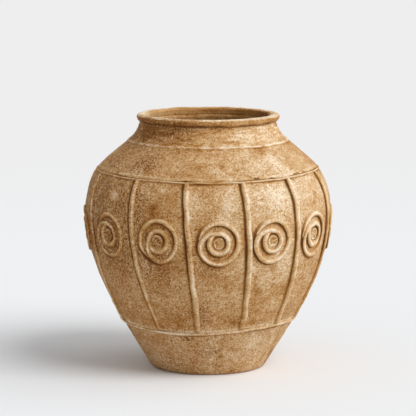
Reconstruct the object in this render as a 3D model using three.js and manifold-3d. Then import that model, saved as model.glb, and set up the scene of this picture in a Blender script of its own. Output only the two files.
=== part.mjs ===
import * as THREE from 'three';
import { mergeVertices } from 'three/addons/utils/BufferGeometryUtils.js';
import Module from 'manifold-3d';

const wasm = await Module();
wasm.setup();

// A hand-built earthenware urn: four stacked wall sections and a rolled lip, with ribs,
// strips and coiled roundels of finger-rolled clay laid on the wall.
// Lengths are millimetres and +Z is up. Angles are degrees round the pot: 0 is the
// front, at -Y, and they grow to the right, towards +X.

// Panels of the belly, each with one rib and one roundel, and the facets of a turned wall.
const PANEL_COUNT = 13;
const FACETS_PER_PANEL = 3;

// Heights of the sections, stacked from the floor up.
const FOOT_RISE = 76.3;
const BELLY_RISE = 171.2;
const BELLY_TURN = 68.7;
const SHOULDER_RISE = 41.3;
const NECK_RISE = 31.2;

// Outer radius of the wall at each of those heights, and what it gains per mm of height there.
const FOOT_RADIUS = 89.9;
const FOOT_FLARE = 0.6;
const BAND_RADIUS = 136;
const BAND_FLARE = 0.58;
const GIRTH_RADIUS = 192.7;
const SHOULDER_RADIUS = 171.7;
const SHOULDER_FLARE = -0.76;
const NECK_RADIUS = 126.1;
const NECK_FLARE = -1.15;
const SEAT_RADIUS = 106.9;
const SEAT_FLARE = -0.15;

// The wall itself, its floor and the laps that join the sections.
const WALL_THICKNESS = 12;
const FLOOR_THICKNESS = 14;
const FLOOR_COVE = 14;
const LAP_RISE = 6;
const SLIP = 0.3;

// The foot ring that the urn stands on.
const FOOT_RING_WIDTH = 16;
const FOOT_RECESS = 3;
const FOOT_EDGE = 4;

// The neck's lower edge, which stands proud of the shoulder.
const NECK_EDGE_PROUD = 1.5;
const NECK_EDGE_RISE = 8;
const NECK_EDGE_ROUND = 1;

// The rolled lip: its three radii, its rise above the neck, and the height of the rounds
// outside its crest and down to the mouth.
const LIP_INNER_RADIUS = 94;
const LIP_CREST_RADIUS = 106;
const LIP_OUTER_RADIUS = 112.6;
const LIP_RISE = 11.3;
const LIP_OUTER_ROUND = 3.4;
const LIP_INNER_ROUND = 3.2;

// The strips laid round the pot: width up the wall and how far they stand out of it.
// The bead's middle lies a little under the shoulder joint, and the strip lies over that joint.
const BAND_WIDTH = 5.5;
const BAND_PROUD = 3.2;
const SHOULDER_STRIP_WIDTH = 6.5;
const SHOULDER_STRIP_PROUD = 1.5;
const SHOULDER_BEAD_WIDTH = 3;
const SHOULDER_BEAD_PROUD = 2.4;
const SHOULDER_BEAD_DROP = 3.2;
const STRIP_GAP = 0.8;

// How a hand-laid strip wanders: waves round the pot, height of each and where it peaks.
const BAND_WAVES = [[1, 0.6, 75], [2, 2.1, 60], [3, 1.6, 47]];
const BEAD_WAVES = [[1, 0.8, 138], [2, 1.1, 82], [3, 0.5, -48]];

// The ribs between the panels.
const RIB_WIDTH = 9.5;
const RIB_PROUD = 4.3;
const RIB_END_GAP = 0.8;
const FIRST_RIB_ANGLE = -8.3;

// How each rib was laid by hand, from the front round to the right:
// degrees off its even place, degrees that it leans to the right on its way down, and its bow.
const RIB_LAYS = [
  [0, 4.5, 0.2], [0, 4.8, 0], [-1.1, 5.2, 0.2], [-1.7, 0.8, 2.1], [0.9, 1.2, 0.6],
  [-1.4, 3.5, -0.6], [-2.2, 4.2, 0.4], [-4.4, 2.8, 0.8], [-5, 4.4, -0.4], [-7.2, 3.4, 0.6],
  [-8.7, 1, 0.2], [-5.3, -2, 4.3], [0.3, 4.7, -0.8],
];

// The coiled roundels: height of their centres under the widest girth, what is left bare
// between them and the ribs, the centre pellet, how far pellet and cord stand out of the wall,
// the grooves between them, and how much taller than wide the roundels are.
const ROUNDEL_DROP = 24.4;
const ROUNDEL_MARGIN = 7.7;
const PELLET_RADIUS = 9.2;
const PELLET_SIDE = 0.9;
const PELLET_PROUD = 1.9;
const PELLET_GROOVE = 1.4;
const COIL_PROUD = 4.2;
const COIL_GROOVE = 5;
const ROUNDEL_STRETCH = 1.07;

// The cord's course, counted in turns: it goes once round the pellet, steps out past its own
// inner end, and goes round again. Its ends thin out over a share of its length, to a tip.
const COIL_START_TURNS = 0.1;
const COIL_STEP_START_TURNS = 0.97;
const COIL_STEP_END_TURNS = 1.2;
const COIL_END_TURNS = 2.08;
const COIL_TAPER_SHARE = 0.07;
const COIL_TIP_SHARE = 0.4;
const COIL_FIRST_ANGLE = 120;

// How each roundel was placed by hand: degrees that it is turned, degrees aside from the
// middle between its ribs, and mm above its even height.
const ROUNDEL_LAYS = [
  [0, 0, -0.8], [-10, -1.3, 0], [14, -1.5, 1.4], [20, 0.6, -1], [-15, 0, 0.8],
  [6, 0.4, 1.6], [24, -0.5, -0.6], [-20, 0.9, 0.4], [10, -0.7, -1.2], [-5, 0.3, 1.2],
  [16, -0.4, -0.5], [-12, 0, 2.8], [70, -0.4, 1],
];

// How finely the curves are divided.
const FOOT_ROWS = 3;
const BELLY_ROWS = 9;
const SHOULDER_ROWS = 3;
const NECK_ROWS = 4;
const INNER_ROW_SHARE = 0.5;
const LIP_STEPS = 3;
const RIB_CROWN_FACES = 4;
const RIB_STEPS = 9;
const STRIP_CROWN_FACES = 3;
const COIL_CROWN_FACES = 3;
const COIL_STEPS = 23;
const PELLET_SIDES = 10;
const DOME_STEPS = 2;
const EDGE_STEPS = 2;
const COVE_STEPS = 2;
const MERGE_DISTANCE = 1e-4;

// How deep the root of a rib, coil or pellet reaches under the outline before it is cut back.
const ROOT_DEPTH = 1.2;

// Worked-out sizes.
const TURN = 2 * Math.PI;
const PANEL_ANGLE = 360 / PANEL_COUNT;
const FACETS = PANEL_COUNT * FACETS_PER_PANEL;
const BAND_HEIGHT = FOOT_RISE;
const GIRTH_HEIGHT = BAND_HEIGHT + BELLY_RISE;
const SHOULDER_HEIGHT = GIRTH_HEIGHT + BELLY_TURN;
const NECK_HEIGHT = SHOULDER_HEIGHT + SHOULDER_RISE;
const SEAT_HEIGHT = NECK_HEIGHT + NECK_RISE;
const BEAD_HEIGHT = SHOULDER_HEIGHT - SHOULDER_BEAD_DROP;
const ROUNDEL_HEIGHT = GIRTH_HEIGHT - ROUNDEL_DROP;

// A roundel fills its panel but for the margins, and the cord fills what the pellet
// and the grooves leave of the roundel, in two turns.
const PANEL_WIDTH = GIRTH_RADIUS * TURN / PANEL_COUNT;
const ROUNDEL_RADIUS = (PANEL_WIDTH - RIB_WIDTH) / 2 - ROUNDEL_MARGIN;
const COIL_WIDTH = (ROUNDEL_RADIUS - PELLET_RADIUS - PELLET_GROOVE - COIL_GROOVE) / 2;
const COIL_INNER_RADIUS = PELLET_RADIUS + PELLET_GROOVE + COIL_WIDTH / 2;
const COIL_PITCH = COIL_WIDTH + COIL_GROOVE;

// Each rib runs down the middle of a facet, and a strip's butted ends meet between two facets.
const FACET_ANGLE = 360 / FACETS;
const FACET_START = FIRST_RIB_ANGLE + FACET_ANGLE / 2;
const SEAM_ANGLE = FACET_START + Math.round((180 - FACET_START) / FACET_ANGLE) * FACET_ANGLE;

// The wall's outline: a smooth curve through one station at each named height.
const STATIONS = [
  { height: 0, radius: FOOT_RADIUS, flare: FOOT_FLARE },
  { height: BAND_HEIGHT, radius: BAND_RADIUS, flare: BAND_FLARE },
  { height: GIRTH_HEIGHT, radius: GIRTH_RADIUS, flare: 0 },
  { height: SHOULDER_HEIGHT, radius: SHOULDER_RADIUS, flare: SHOULDER_FLARE },
  { height: NECK_HEIGHT, radius: NECK_RADIUS, flare: NECK_FLARE },
  { height: SEAT_HEIGHT, radius: SEAT_RADIUS, flare: SEAT_FLARE },
];

const clay = {
  wall: material(0xb9935f, 0.92),
  floor: material(0xa98556, 0.95),
  neck: material(0xc09a68, 0.92),
  lip: material(0xcaa87a, 0.9),
  strip: material(0xcdac7d, 0.9),
  rib: material(0xd0b083, 0.9),
  coil: material(0xd2b388, 0.9),
  pellet: material(0xc4a273, 0.9),
};

function material(color, roughness) {
  return new THREE.MeshStandardMaterial({ color, roughness, metalness: 0 });
}

function radians(degrees) {
  return THREE.MathUtils.degToRad(degrees);
}

// The outer radius and the flare of the wall at a height, by the curve through the stations.
function wallAt(height) {
  const found = STATIONS.findIndex((station) => station.height >= height);
  const upper = found < 0 ? STATIONS.length - 1 : Math.max(found, 1);
  const low = STATIONS[upper - 1];
  const high = STATIONS[upper];
  const rise = high.height - low.height;
  const s = (height - low.height) / rise;
  const radius = (2 * s ** 3 - 3 * s ** 2 + 1) * low.radius
    + (s ** 3 - 2 * s ** 2 + s) * rise * low.flare
    + (3 * s ** 2 - 2 * s ** 3) * high.radius
    + (s ** 3 - s ** 2) * rise * high.flare;
  const flare = (6 * s ** 2 - 6 * s) * (low.radius - high.radius) / rise
    + (3 * s ** 2 - 4 * s + 1) * low.flare
    + (3 * s ** 2 - 2 * s) * high.flare;
  return { radius, flare };
}

function outerRadius(height) {
  return wallAt(height).radius;
}

// How much of a length along the wall is height, where the wall has the given flare.
function upright(flare) {
  return 1 / Math.hypot(1, flare);
}

// The wall keeps its thickness square to the outline, so it is wider where the wall leans.
function innerRadius(height) {
  const { radius, flare } = wallAt(height);
  return radius - WALL_THICKNESS / upright(flare);
}

// The side of a lap stands at the middle of the wall, half way up the lap.
function lapRadius(height) {
  const middle = height + LAP_RISE / 2;
  return (outerRadius(middle) + innerRadius(middle)) / 2;
}

function evenHeights(from, to, count) {
  return Array.from({ length: count + 1 }, (_, i) => from + (to - from) * i / count);
}

function outerRows(from, to, count) {
  return evenHeights(from, to, count).map((z) => new THREE.Vector2(outerRadius(z), z));
}

function innerRows(from, to, outerCount) {
  const count = Math.ceil(outerCount * INNER_ROW_SHARE);
  return evenHeights(from, to, count).map((z) => new THREE.Vector2(innerRadius(z), z));
}

// The outer heights of each section, bottom to top, which the ribs and coils are fitted to.
const SECTION_ROWS = {
  foot: outerRows(FOOT_EDGE, BAND_HEIGHT, FOOT_ROWS),
  belly: outerRows(BAND_HEIGHT, SHOULDER_HEIGHT, BELLY_ROWS),
  shoulder: outerRows(SHOULDER_HEIGHT, NECK_HEIGHT, SHOULDER_ROWS),
};

// The tongue on top of a section, from its seat at the outside over to the inner wall.
function tongue(height) {
  const side = lapRadius(height);
  return [
    new THREE.Vector2(side, height),
    new THREE.Vector2(side, height + LAP_RISE),
  ];
}

// The rebate under a section, which drops over the tongue below with the slip between them.
function rebate(height) {
  const side = lapRadius(height) + SLIP;
  return [
    new THREE.Vector2(side, height + LAP_RISE + SLIP),
    new THREE.Vector2(side, height),
  ];
}

function turned(profile, facets = FACETS, start = radians(FACET_START)) {
  const geometry = new THREE.LatheGeometry(profile, facets, start);
  geometry.rotateX(Math.PI / 2);
  return geometry;
}

// A merged, closed solid from any three.js geometry, without its collapsed triangles.
function solidFrom(geometry) {
  const bare = geometry.clone();
  bare.deleteAttribute('normal');
  bare.deleteAttribute('uv');
  const merged = mergeVertices(bare, MERGE_DISTANCE);
  const corners = merged.index.array;
  const kept = [];
  for (let i = 0; i < corners.length; i += 3) {
    const [a, b, c] = corners.subarray(i, i + 3);
    if (a !== b && b !== c && c !== a) {
      kept.push(a, b, c);
    }
  }
  return new wasm.Manifold(new wasm.Mesh({
    numProp: 3,
    vertProperties: Float32Array.from(merged.getAttribute('position').array),
    triVerts: Uint32Array.from(kept),
  }));
}

function geometryFrom(solid) {
  const mesh = solid.getMesh();
  const geometry = new THREE.BufferGeometry();
  geometry.setAttribute('position', new THREE.BufferAttribute(mesh.vertProperties, 3));
  geometry.setIndex(new THREE.BufferAttribute(mesh.triVerts, 1));
  geometry.computeVertexNormals();
  return geometry;
}

// The pot's outside grown by the slip: every laid piece is cut back to it.
function wallEnvelope() {
  const { foot, belly, shoulder } = SECTION_ROWS;
  const rows = [...foot, ...belly.slice(1), ...shoulder.slice(1)];
  const profile = [
    new THREE.Vector2(0, FOOT_EDGE),
    ...rows.map(({ x, y }) => new THREE.Vector2(x + SLIP / upright(wallAt(y).flare), y)),
    new THREE.Vector2(0, NECK_HEIGHT),
  ];
  return solidFrom(turned(profile));
}

const ENVELOPE = wallEnvelope();

// A path laid on the curved wall. It keeps the section's x pointing out of the wall,
// and its thickness can fall towards the ends.
class WallPath extends THREE.Curve {
  constructor(placeAt, thicknessAt = () => 1) {
    super();
    this.placeAt = placeAt;
    this.thicknessAt = thicknessAt;
  }

  getUtoTmapping(u) {
    return u;
  }

  getPoint(t, target = new THREE.Vector3()) {
    const { angle, height } = this.placeAt(t);
    const radius = outerRadius(height);
    return target.set(radius * Math.sin(angle), -radius * Math.cos(angle), height);
  }

  computeFrenetFrames(segments) {
    const frames = { tangents: [], normals: [], binormals: [] };
    for (let i = 0; i <= segments; i += 1) {
      const t = i / segments;
      const { angle, height } = this.placeAt(t);
      const out = new THREE.Vector3(Math.sin(angle), -Math.cos(angle), -wallAt(height).flare);
      const tangent = this.getTangent(t);
      const across = tangent.clone().cross(out).normalize();
      const normal = across.clone().cross(tangent).normalize();
      const thickness = this.thicknessAt(t);
      frames.tangents.push(tangent);
      frames.normals.push(normal.multiplyScalar(thickness));
      frames.binormals.push(across.multiplyScalar(thickness));
    }
    return frames;
  }
}

// The section of a rolled cord: a crown of the given faces, whose sides run on down to the root.
function cordSection(width, proud, crownFaces, rootDepth) {
  const half = width / 2;
  const peak = Math.sin(Math.PI * Math.floor(crownFaces / 2) / crownFaces);
  const crown = Array.from({ length: crownFaces - 1 }, (_, i) => {
    const angle = Math.PI * (i + 1) / crownFaces;
    return new THREE.Vector2(proud * Math.sin(angle) / peak, -half * Math.cos(angle));
  });
  const rootHalf = half + rootDepth * (half + crown[0].y) / crown[0].x;
  return new THREE.Shape([
    new THREE.Vector2(-rootDepth, -rootHalf),
    ...crown,
    new THREE.Vector2(-rootDepth, rootHalf),
  ]);
}

// A cord along a wall path, rooted in the wall and cut back to its envelope.
function laidCord(path, width, proud, crownFaces, steps) {
  const section = cordSection(width, proud, crownFaces, ROOT_DEPTH);
  const cord = new THREE.ExtrudeGeometry(section, { steps, extrudePath: path });
  return geometryFrom(solidFrom(cord).subtract(ENVELOPE));
}

function wave(waves, angle) {
  return waves.reduce((sum, [count, height, peak]) => {
    const phase = count * (angle - radians(peak));
    return sum + height * Math.cos(phase);
  }, 0);
}

function bandHeightAt(angle) {
  return BAND_HEIGHT + wave(BAND_WAVES, angle);
}

function beadHeightAt(angle) {
  return BEAD_HEIGHT + wave(BEAD_WAVES, angle);
}

// The strip keeps beside the bead, a gap above it.
function stripHeightAt(angle) {
  const spacing = (SHOULDER_STRIP_WIDTH + SHOULDER_BEAD_WIDTH) / 2 + STRIP_GAP;
  return beadHeightAt(angle) + spacing * upright(SHOULDER_FLARE);
}

// A strip laid right round the pot, its ends butted at the back. It has one step to each
// facet of the wall, so its flat underside follows the wall with only the slip between.
function laidStrip(heightAt, width, proud) {
  const seam = radians(SEAM_ANGLE);
  const butt = SLIP / outerRadius(heightAt(seam));
  const path = new WallPath((t) => {
    const angle = THREE.MathUtils.clamp(seam - TURN * (1 - t), seam - TURN + butt, seam - butt);
    return { angle, height: heightAt(angle) };
  });
  const section = cordSection(width, proud, STRIP_CROWN_FACES, -SLIP);
  return new THREE.ExtrudeGeometry(section, { steps: FACETS, extrudePath: path });
}

// The angle of a rib at a height, in the frame of its own panel. The bow is an arch less
// its own mean, so that it leaves the rib about its place.
function ribAngle(panel, height) {
  const [offset, lean, bow] = RIB_LAYS[panel % RIB_LAYS.length];
  const down = (SHOULDER_HEIGHT - height) / (SHOULDER_HEIGHT - BAND_HEIGHT);
  const bowed = bow * (4 * down * (1 - down) - 2 / 3);
  return radians(FIRST_RIB_ANGLE + offset + lean * (down - 0.5) + bowed);
}

// A rib runs from under the shoulder bead down to the lower band.
function rib(panel) {
  const turn = radians(panel * PANEL_ANGLE);
  const ends = turn + ribAngle(panel, (BAND_HEIGHT + SHOULDER_HEIGHT) / 2);
  const top = beadHeightAt(ends) - SHOULDER_BEAD_WIDTH / 2 * upright(SHOULDER_FLARE) - RIB_END_GAP;
  const bottom = bandHeightAt(ends) + BAND_WIDTH / 2 * upright(BAND_FLARE) + RIB_END_GAP;
  const path = new WallPath((t) => {
    const height = THREE.MathUtils.lerp(top, bottom, t);
    return { angle: ribAngle(panel, height), height };
  });
  return laidCord(path, RIB_WIDTH, RIB_PROUD, RIB_CROWN_FACES, RIB_STEPS);
}

// How a roundel lies: the angle and height of its centre, about midway between its two ribs,
// and how far it is turned.
function roundelLay(panel) {
  const [turned, aside, above] = ROUNDEL_LAYS[panel % ROUNDEL_LAYS.length];
  const left = ribAngle(panel, ROUNDEL_HEIGHT);
  const right = ribAngle((panel + 1) % PANEL_COUNT, ROUNDEL_HEIGHT) + radians(PANEL_ANGLE);
  return {
    angle: (left + right) / 2 + radians(aside),
    height: ROUNDEL_HEIGHT + above,
    turn: radians(turned),
  };
}

// How far the cord's centre line lies from the roundel's centre, after some turns.
function coilRadius(turns) {
  const step = THREE.MathUtils.smoothstep(turns, COIL_STEP_START_TURNS, COIL_STEP_END_TURNS);
  return COIL_INNER_RADIUS + COIL_PITCH * step;
}

// Both ends of the cord thin out to a tip.
function coilThickness(t) {
  const fromEnd = Math.min(t, 1 - t);
  const whole = THREE.MathUtils.smoothstep(fromEnd, 0, COIL_TAPER_SHARE);
  return COIL_TIP_SHARE + (1 - COIL_TIP_SHARE) * whole;
}

// One cord coiled flat on the wall, anticlockwise from the pellet outwards.
function coil(panel) {
  const { angle, height, turn } = roundelLay(panel);
  const wallRadius = outerRadius(ROUNDEL_HEIGHT);
  const path = new WallPath((t) => {
    const turns = THREE.MathUtils.lerp(COIL_START_TURNS, COIL_END_TURNS, t);
    const reach = coilRadius(turns);
    const heading = radians(COIL_FIRST_ANGLE) + turn + turns * TURN;
    return {
      angle: angle + reach * Math.cos(heading) / wallRadius,
      height: height + reach * Math.sin(heading) * ROUNDEL_STRETCH,
    };
  }, coilThickness);
  return laidCord(path, COIL_WIDTH, COIL_PROUD, COIL_CROWN_FACES, COIL_STEPS);
}

// The pellet pressed on in the middle of a roundel, a low dome on a short side.
function pellet(panel) {
  const dome = new THREE.EllipseCurve(
    0, PELLET_SIDE,
    PELLET_RADIUS, PELLET_PROUD - PELLET_SIDE,
    0, Math.PI / 2,
  );
  const round = dome.getPoints(DOME_STEPS).slice(0, -1);
  const profile = [
    new THREE.Vector2(0, -ROOT_DEPTH),
    new THREE.Vector2(PELLET_RADIUS, -ROOT_DEPTH),
    ...round,
    new THREE.Vector2(0, PELLET_PROUD),
  ];
  const geometry = turned(profile, PELLET_SIDES);
  const { angle, height } = roundelLay(panel);
  const { radius, flare } = wallAt(height);
  geometry.scale(1, ROUNDEL_STRETCH, 1);
  geometry.rotateX(Math.PI / 2 + Math.atan(flare));
  geometry.translate(0, -radius, height);
  geometry.rotateZ(angle);
  return geometryFrom(solidFrom(geometry).subtract(ENVELOPE));
}

// The foot: a coved floor and the lower wall, on a foot ring round a shallow recess.
function footSection() {
  const ringInner = FOOT_RADIUS - FOOT_RING_WIDTH;
  const edge = new THREE.QuadraticBezierCurve(
    new THREE.Vector2(FOOT_RADIUS - FOOT_EDGE, 0),
    new THREE.Vector2(FOOT_RADIUS, 0),
    new THREE.Vector2(outerRadius(FOOT_EDGE), FOOT_EDGE),
  );
  const coveTop = FLOOR_THICKNESS + FLOOR_COVE;
  const cove = new THREE.QuadraticBezierCurve(
    new THREE.Vector2(innerRadius(coveTop), coveTop),
    new THREE.Vector2(innerRadius(FLOOR_THICKNESS), FLOOR_THICKNESS),
    new THREE.Vector2(innerRadius(FLOOR_THICKNESS) - FLOOR_COVE, FLOOR_THICKNESS),
  );
  return turned([
    new THREE.Vector2(0, FOOT_RECESS),
    new THREE.Vector2(ringInner - FOOT_RECESS, FOOT_RECESS),
    new THREE.Vector2(ringInner, 0),
    ...edge.getPoints(EDGE_STEPS).slice(0, -1),
    ...SECTION_ROWS.foot,
    ...tongue(BAND_HEIGHT),
    ...innerRows(BAND_HEIGHT + LAP_RISE, coveTop, FOOT_ROWS),
    ...cove.getPoints(COVE_STEPS).slice(1),
    new THREE.Vector2(0, FLOOR_THICKNESS),
  ]);
}

// A wall section between two laps: a rebate below, the outer wall, a tongue on top.
function wallSection(bottom, top, rows, outerCount) {
  const [roof, foot] = rebate(bottom);
  return turned([
    foot,
    ...rows,
    ...tongue(top),
    ...innerRows(top + LAP_RISE, roof.y, outerCount),
    roof,
    foot.clone(),
  ]);
}

// How far the neck stands out of the plain outline, most at its lower edge.
function neckRadius(height) {
  const fade = 1 - THREE.MathUtils.smoothstep(height, NECK_HEIGHT, NECK_HEIGHT + NECK_EDGE_RISE);
  return outerRadius(height) + NECK_EDGE_PROUD * fade;
}

// The neck: a concave flare with a proud lower edge and a flat seat for the lip.
function neckSection() {
  const [roof, foot] = rebate(NECK_HEIGHT);
  const edgeTop = NECK_HEIGHT + NECK_EDGE_ROUND;
  const fadeEnd = NECK_HEIGHT + NECK_EDGE_RISE;
  const rows = [edgeTop, (edgeTop + fadeEnd) / 2, ...evenHeights(fadeEnd, SEAT_HEIGHT, NECK_ROWS - 1)];
  return turned([
    foot,
    new THREE.Vector2(neckRadius(NECK_HEIGHT) - NECK_EDGE_ROUND, NECK_HEIGHT),
    ...rows.map((z) => new THREE.Vector2(neckRadius(z), z)),
    ...innerRows(SEAT_HEIGHT, roof.y, NECK_ROWS),
    roof,
    foot.clone(),
  ]);
}

// The lip: a coil rolled over on the neck's seat. It leans out to a round edge, and its broad
// top dips to the mouth.
function rimCoil() {
  const edge = SEAT_HEIGHT + LIP_RISE - LIP_OUTER_ROUND;
  const dip = SEAT_HEIGHT + LIP_RISE - LIP_INNER_ROUND;
  const under = new THREE.EllipseCurve(
    SEAT_RADIUS, edge,
    LIP_OUTER_RADIUS - SEAT_RADIUS, edge - SEAT_HEIGHT,
    -Math.PI / 2, 0,
  );
  const outer = new THREE.EllipseCurve(
    LIP_CREST_RADIUS, edge,
    LIP_OUTER_RADIUS - LIP_CREST_RADIUS, LIP_OUTER_ROUND,
    0, Math.PI / 2,
  );
  const inner = new THREE.EllipseCurve(
    LIP_CREST_RADIUS, dip,
    LIP_CREST_RADIUS - LIP_INNER_RADIUS, LIP_INNER_ROUND,
    Math.PI / 2, Math.PI,
  );
  const round = [
    ...under.getPoints(LIP_STEPS),
    ...outer.getPoints(EDGE_STEPS).slice(1),
    ...inner.getPoints(LIP_STEPS).slice(1),
    new THREE.Vector2(LIP_INNER_RADIUS, SEAT_HEIGHT),
  ];
  return turned([...round, round[0].clone()]);
}

function bellySection() {
  return wallSection(BAND_HEIGHT, SHOULDER_HEIGHT, SECTION_ROWS.belly, BELLY_ROWS);
}

function shoulderSection() {
  return wallSection(SHOULDER_HEIGHT, NECK_HEIGHT, SECTION_ROWS.shoulder, SHOULDER_ROWS);
}

function named(name, geometry, finish) {
  const mesh = new THREE.Mesh(geometry, finish.clone());
  mesh.name = name;
  return mesh;
}

function sections() {
  const group = new THREE.Group();
  group.add(
    named('foot_section', footSection(), clay.floor),
    named('belly_section', bellySection(), clay.wall),
    named('shoulder_section', shoulderSection(), clay.wall),
    named('neck_section', neckSection(), clay.neck),
    named('rim_coil', rimCoil(), clay.lip),
  );
  return group;
}

function strips() {
  const band = laidStrip(bandHeightAt, BAND_WIDTH, BAND_PROUD);
  const bead = laidStrip(beadHeightAt, SHOULDER_BEAD_WIDTH, SHOULDER_BEAD_PROUD);
  const strip = laidStrip(stripHeightAt, SHOULDER_STRIP_WIDTH, SHOULDER_STRIP_PROUD);
  const group = new THREE.Group();
  group.add(
    named('lower_band', band, clay.strip),
    named('shoulder_bead', bead, clay.strip),
    named('shoulder_strip', strip, clay.strip),
  );
  return group;
}

// One panel's rib and roundel, turned to their place round the pot.
function panelPieces(panel) {
  const number = String(panel + 1).padStart(2, '0');
  const group = new THREE.Group();
  group.add(
    named(`rib_${number}`, rib(panel), clay.rib),
    named(`roundel_coil_${number}`, coil(panel), clay.coil),
    named(`roundel_pellet_${number}`, pellet(panel), clay.pellet),
  );
  group.rotation.z = radians(panel * PANEL_ANGLE);
  return group;
}

const urn = new THREE.Group();
urn.add(sections(), strips());
for (let panel = 0; panel < PANEL_COUNT; panel += 1) {
  urn.add(panelPieces(panel));
}

export default urn;
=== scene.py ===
"""The looks of a hand-built earthenware urn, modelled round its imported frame.

Lengths are in millimetres until a piece is finished, which turns them to metres. The studio
and the camera are in metres. Angles are in radians round the pot unless a name or a docstring
says degrees: 0 is the front, at -Y, and they grow to the right, towards +X.
"""

from __future__ import annotations

import logging
import math
from dataclasses import dataclass
from enum import Enum
from functools import cache, partial
from typing import Callable

import bmesh
import bpy
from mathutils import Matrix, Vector, noise

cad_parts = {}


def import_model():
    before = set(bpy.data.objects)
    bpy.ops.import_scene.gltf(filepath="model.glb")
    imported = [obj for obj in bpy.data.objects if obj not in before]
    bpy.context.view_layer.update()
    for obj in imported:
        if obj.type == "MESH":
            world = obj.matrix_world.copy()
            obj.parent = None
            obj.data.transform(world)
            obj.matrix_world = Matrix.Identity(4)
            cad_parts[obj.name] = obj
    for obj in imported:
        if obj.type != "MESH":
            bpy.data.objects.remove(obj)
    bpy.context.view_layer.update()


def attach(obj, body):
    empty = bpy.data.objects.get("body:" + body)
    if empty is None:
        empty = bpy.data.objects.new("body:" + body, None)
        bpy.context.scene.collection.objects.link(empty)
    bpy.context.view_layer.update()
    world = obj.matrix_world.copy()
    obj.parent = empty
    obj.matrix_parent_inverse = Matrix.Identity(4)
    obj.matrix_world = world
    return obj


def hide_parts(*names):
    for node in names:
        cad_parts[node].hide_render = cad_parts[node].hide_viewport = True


log = logging.getLogger("urn")

MM = 0.001
TURN = 2 * math.pi
# painted shade lies to the left of each cord and a little below it, on the side away from the
# lamps
LEE_LEFT, LEE_DOWN = 0.82, 0.57


class Slot(Enum):
    """The record's material slots."""

    WALL = "wall"
    FOOT = "foot"
    NECK = "neck"
    LIP = "lip"
    STRIP = "strip"
    RIB = "rib"
    COIL = "coil"
    PELLET = "pellet"


class Tone(Enum):
    """What a piece's surface carries at each point, for its finish to read."""

    # painted shade in creases, sunk places and under edges, most beside cords away from the lamps
    CREVICE = "crevice"
    # painted highlight on the tops and lit sides of what stands proud, with the pale slip on it
    CREST = "crest"
    # the firing's clouds, and painted light and shade: paler on the lit right, browner on the left
    FIRE = "fire"
    # red stains, and painted shade that makes the shaded left browner
    RUST = "rust"
    INSIDE = "inside"


Profile = list[tuple[float, float]]
Layers = dict[Tone, bmesh.types.BMLayerItem]
Sockets = dict[str, bpy.types.NodeSocket]
Adder = Callable[..., bpy.types.NodeSocket]


# Small helpers


def smooth(low: float, high: float, value: float) -> float:
    """Goes from 0 at low to 1 at high, flat at both ends."""
    share = min(1.0, max(0.0, (value - low) / (high - low)))
    return share * share * (3 - 2 * share)


def bell(off: float, width: float) -> float:
    """A bell curve: 1 where off is 0, and less the further off it is."""
    return math.exp(-((off / width) ** 2))


def apart(angle: float, other: float) -> float:
    """The signed angle from one angle to another, the short way round."""
    return (angle - other + math.pi) % TURN - math.pi


@dataclass(frozen=True)
class Lumps:
    """One layer of unevenness, as smooth noise that goes from about -height to height.

    Its lumps are about size millimetres apart, and its seed makes it differ from other layers.
    """

    height: float
    size: float
    seed: float = 0.0

    def at(self, place: Vector, piece: float = 0.0) -> float:
        """What the layer is at a place.

        Args:
            place: where on the pot.
            piece: a number for each piece, so that two pieces differ.

        Returns:
            The noise there.
        """
        seed = self.seed + piece
        shifted = Vector((seed * 17.3, seed * -9.1, seed * 5.7))
        return self.height * 1.6 * noise.noise(place / self.size + shifted)


def stand(name: str, data: bpy.types.ID) -> bpy.types.Object:
    """Makes an object of a mesh, a lamp or a camera and puts it in the scene.

    Args:
        name: the object's name.
        data: the mesh, lamp or camera.

    Returns:
        The object.
    """
    thing = bpy.data.objects.new(name, data)
    bpy.context.scene.collection.objects.link(thing)
    return thing


def spin(
    bm: bmesh.types.BMesh, corners: list[bmesh.types.BMVert], columns: int, closed: bool = False
) -> None:
    """Joins corners up to a profile and spins it round the upright axis.

    Args:
        bm: the mesh that they are in.
        corners: the profile's points, in order.
        columns: how many steps go round.
        closed: whether the last one joins the first.
    """
    edges = [bm.edges.new(pair) for pair in zip(corners, corners[1:])]
    if closed:
        edges.append(bm.edges.new((corners[-1], corners[0])))
    bmesh.ops.spin(
        bm,
        geom=corners + edges,
        cent=(0, 0, 0),
        axis=(0, 0, 1),
        angle=TURN,
        steps=columns,
        use_merge=True,
        use_duplicate=False,
    )
    bmesh.ops.remove_doubles(bm, verts=bm.verts, dist=0.01)


# The pot's outline


@dataclass(frozen=True)
class Station:
    """One named height of the wall: its radius, and what that gains per mm of height."""

    height: float
    radius: float
    flare: float


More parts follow.
